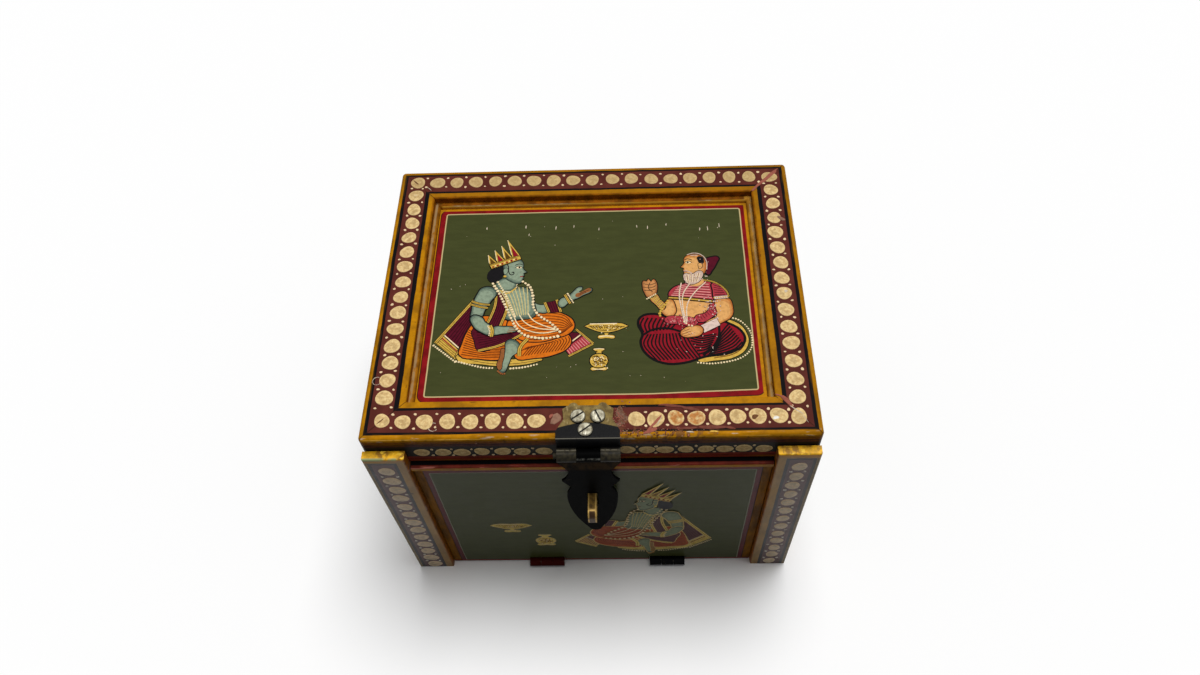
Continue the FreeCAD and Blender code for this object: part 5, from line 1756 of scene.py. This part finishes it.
class PAINTBOX_OT_wear(bpy.types.Operator):
    """Chip and scratch the lid's border and fleck its green field"""

    bl_idname = "paintbox.wear"
    bl_label = "Chips and scratches"

    def execute(self, context):
        self.flake = model_dab("flake", 10)
        self.chance = random.Random(73)
        finish = brush_paint("chipped_paint")
        settle(self.chip_border(), "lid", finish)
        settle(self.fleck_field(), "lid", finish)
        bpy.data.objects.remove(self.flake)
        return {"FINISHED"}

    def chip_border(self):
        """Chips, two broken rings scratched in, a bare patch beside the hasp, and specks about it."""
        c = colours()
        rubbed = deep(c.chip, 0.55)
        chips = Stamp(self.flake, 71)
        for *place, shade in self.large_chips(c, rubbed):
            self.chip(chips, place, (0.24, 0.28), shade, 0.2)
        ring = Vector((2.0, 0))
        for across, up in ((-95.4, -49.4), (-67.6, -73.2)):
            for bend in range(40, 300, 12):
                turned = ring @ Matrix.Rotation(math.radians(bend), 2)
                self.speck(chips, LID_FACE, across + turned.x, up + turned.y, 0.55, c.scratch)
        for place in ((13.4, -67.4, 6.4, 3.6, 80), (15, -70.4, 5.2, 3.2, 130), (13, -73, 4, 2.6, 30)):
            self.chip(chips, place, (0.02, 0.05), deep(c.bare, 0.62), 0.24)
        self.scatter(chips, 120, (14, 1.7), (-69.4, 3.2), 0.8, (c.chip, c.bare, c.scuff, c.scuff, rubbed))
        self.scatter(chips, 110, (24, 11), (-77, 1.0), 0.9, (c.scuff, c.chip, c.maroon, c.bare))
        return chips.piece("lid_border_chips", PAINT)

    def large_chips(self, c, rubbed):
        """The larger chips and scratches in millimetres: place, length, width, lean and colour."""
        return (
            (88.7, 68, 21, 1.9, 46, c.chip), (84, 63.5, 8, 1.6, 52, c.chip), (92.5, 72.5, 8, 1.3, 40, c.chip),
            (85.6, -62.6, 7.4, 2.2, -46, c.chip), (82.6, -60, 3.6, 0.8, -20, c.chip),
            (89.4, -67.4, 6.4, 0.7, -38, c.scratch), (92.6, -71.6, 5, 0.3, -60, c.scratch),
            (-14.4, -70, 5.4, 4.6, 30, c.bare), (-16.6, -68.6, 2.2, 1.6, 70, c.chip),
            (28, -73, 10.5, 1.5, 50, c.chip), (30.2, -72, 5, 0.5, 62, c.scratch),
            (26.4, -76.4, 6, 2.2, 20, c.chip), (36.5, -64.4, 9, 1.7, -8, rubbed),
            (44, -66, 9, 1.5, -14, rubbed), (33, -63.9, 6, 1.1, 2, rubbed), (42, -75.5, 10, 1.2, 0, rubbed),
            (53, -75.2, 14, 1.8, 2, rubbed), (60, -75.5, 6, 1.1, -6, rubbed),
            (53.3, -77.2, 3.6, 1.0, 0, c.gleam), (43.2, -77.3, 3.6, 0.7, 0, c.scratch),
            (-91.8, 71.4, 5.6, 0.7, -46, c.scuff), (-84.4, 66.8, 3.4, 0.4, -46, c.scratch),
            (80.2, -71, 2.6, 1.9, 20, c.bright_chip), (-91, 62.4, 1.6, 0.9, 10, c.dot),
            (91.6, -3.6, 2.2, 1.4, 60, c.scratch), (94, 41.4, 4.0, 2.4, -30, c.bare),
            (-91, -70, 5.0, 0.5, 44, c.scuff), (71.2, -70.4, 3.2, 2.5, 0, c.scuff),
        )

    def fleck_field(self):
        """Short upright flecks along the back of the green field, and specks all over it."""
        pale = colours().scratch
        flecks = Stamp(self.flake, 72)
        for across, up in ((-53.6, 44.2), (-33.7, 44.7), (-31.9, 39.5), (-18.4, 43.7), (-9.3, 44.4),
                           (3.4, 42.3), (22.5, 43.6), (27.9, 42.7), (37.3, 44.4), (54.1, 40.9), (58, 41.2),
                           (63.9, 43.1)):
            tall = self.chance.uniform(0.9, 2.8) * MM
            flecks.press(PANEL_FACE, across * MM, up * MM, 0.5 * MM, tall, 0.03 * MM, list(pale), 0.2)
        for _ in range(34):
            across, up = self.chance.uniform(-70, 70), self.chance.uniform(-50, 48)
            self.speck(flecks, PANEL_FACE, across, up, 0.5, pale)
        return flecks.piece("lid_field_flecks", PAINT)

    def chip(self, stamp, place, rises, shade, ragged):
        """One chip on the lid, given as across, up, length, width and lean."""
        across, up, run, width = (v * MM for v in place[:4])
        lean = math.radians(place[4])
        rise = self.chance.uniform(*rises) * MM
        stamp.press(LID_FACE, across, up, run, width, rise, list(shade), ragged, lean)

    def scatter(self, stamp, count, across, up, size, shades):
        """Specks about a place on the lid: its middle and spread across, and its middle and spread up."""
        for _ in range(count):
            spot = self.chance.gauss(*across), self.chance.gauss(*up)
            self.speck(stamp, LID_FACE, *spot, size, self.chance.choice(shades))

    def speck(self, stamp, face, across, up, size, shade):
        """One small mark."""
        long, wide = (self.chance.uniform(0.4, 1) * size * MM for _ in range(2))
        rise = self.chance.uniform(0.06, 0.12) * MM
        lean = self.chance.uniform(0, math.pi)
        stamp.press(face, across * MM, up * MM, long, wide, rise, list(shade), 0.2, lean)


class PAINTBOX_PT_panel(bpy.types.Panel):
    """The steps of painting the box, in order"""

    bl_idname = "PAINTBOX_PT_panel"
    bl_label = "Painted box"
    bl_space_type = "VIEW_3D"
    bl_region_type = "UI"
    bl_category = "Painted box"

    def draw(self, context):
        for step in STEPS:
            self.layout.operator(step.bl_idname)


STEPS = (PAINTBOX_OT_stage, PAINTBOX_OT_boards, PAINTBOX_OT_ironwork, PAINTBOX_OT_discs, PAINTBOX_OT_figures,
         PAINTBOX_OT_wear)
GROUPS = {"box_colours": BorderColours, "box_metals": MetalColours, "lid_figures": LidFigureColours,
          "front_figures": FrontFigureColours, "box_sizes": BorderSizes, "box_stage": StageSettings}


def register():
    """Add the settings, the steps and the panel to Blender."""
    for group in GROUPS.values():
        bpy.utils.register_class(group)
    for name, group in GROUPS.items():
        setattr(bpy.types.Scene, name, PointerProperty(type=group))
    for step in (*STEPS, PAINTBOX_PT_panel):
        bpy.utils.register_class(step)


def unregister():
    """Take them away again."""
    for step in (PAINTBOX_PT_panel, *reversed(STEPS)):
        bpy.utils.unregister_class(step)
    for name in GROUPS:
        delattr(bpy.types.Scene, name)
    for group in reversed(GROUPS.values()):
        bpy.utils.unregister_class(group)


def main():
    """Paint the box step by step."""
    register()
    bpy.ops.paintbox.stage()
    bpy.ops.paintbox.boards()
    bpy.ops.paintbox.ironwork()
    bpy.ops.paintbox.discs()
    bpy.ops.paintbox.figures()
    bpy.ops.paintbox.wear()


if __name__ == "__main__":
    main()
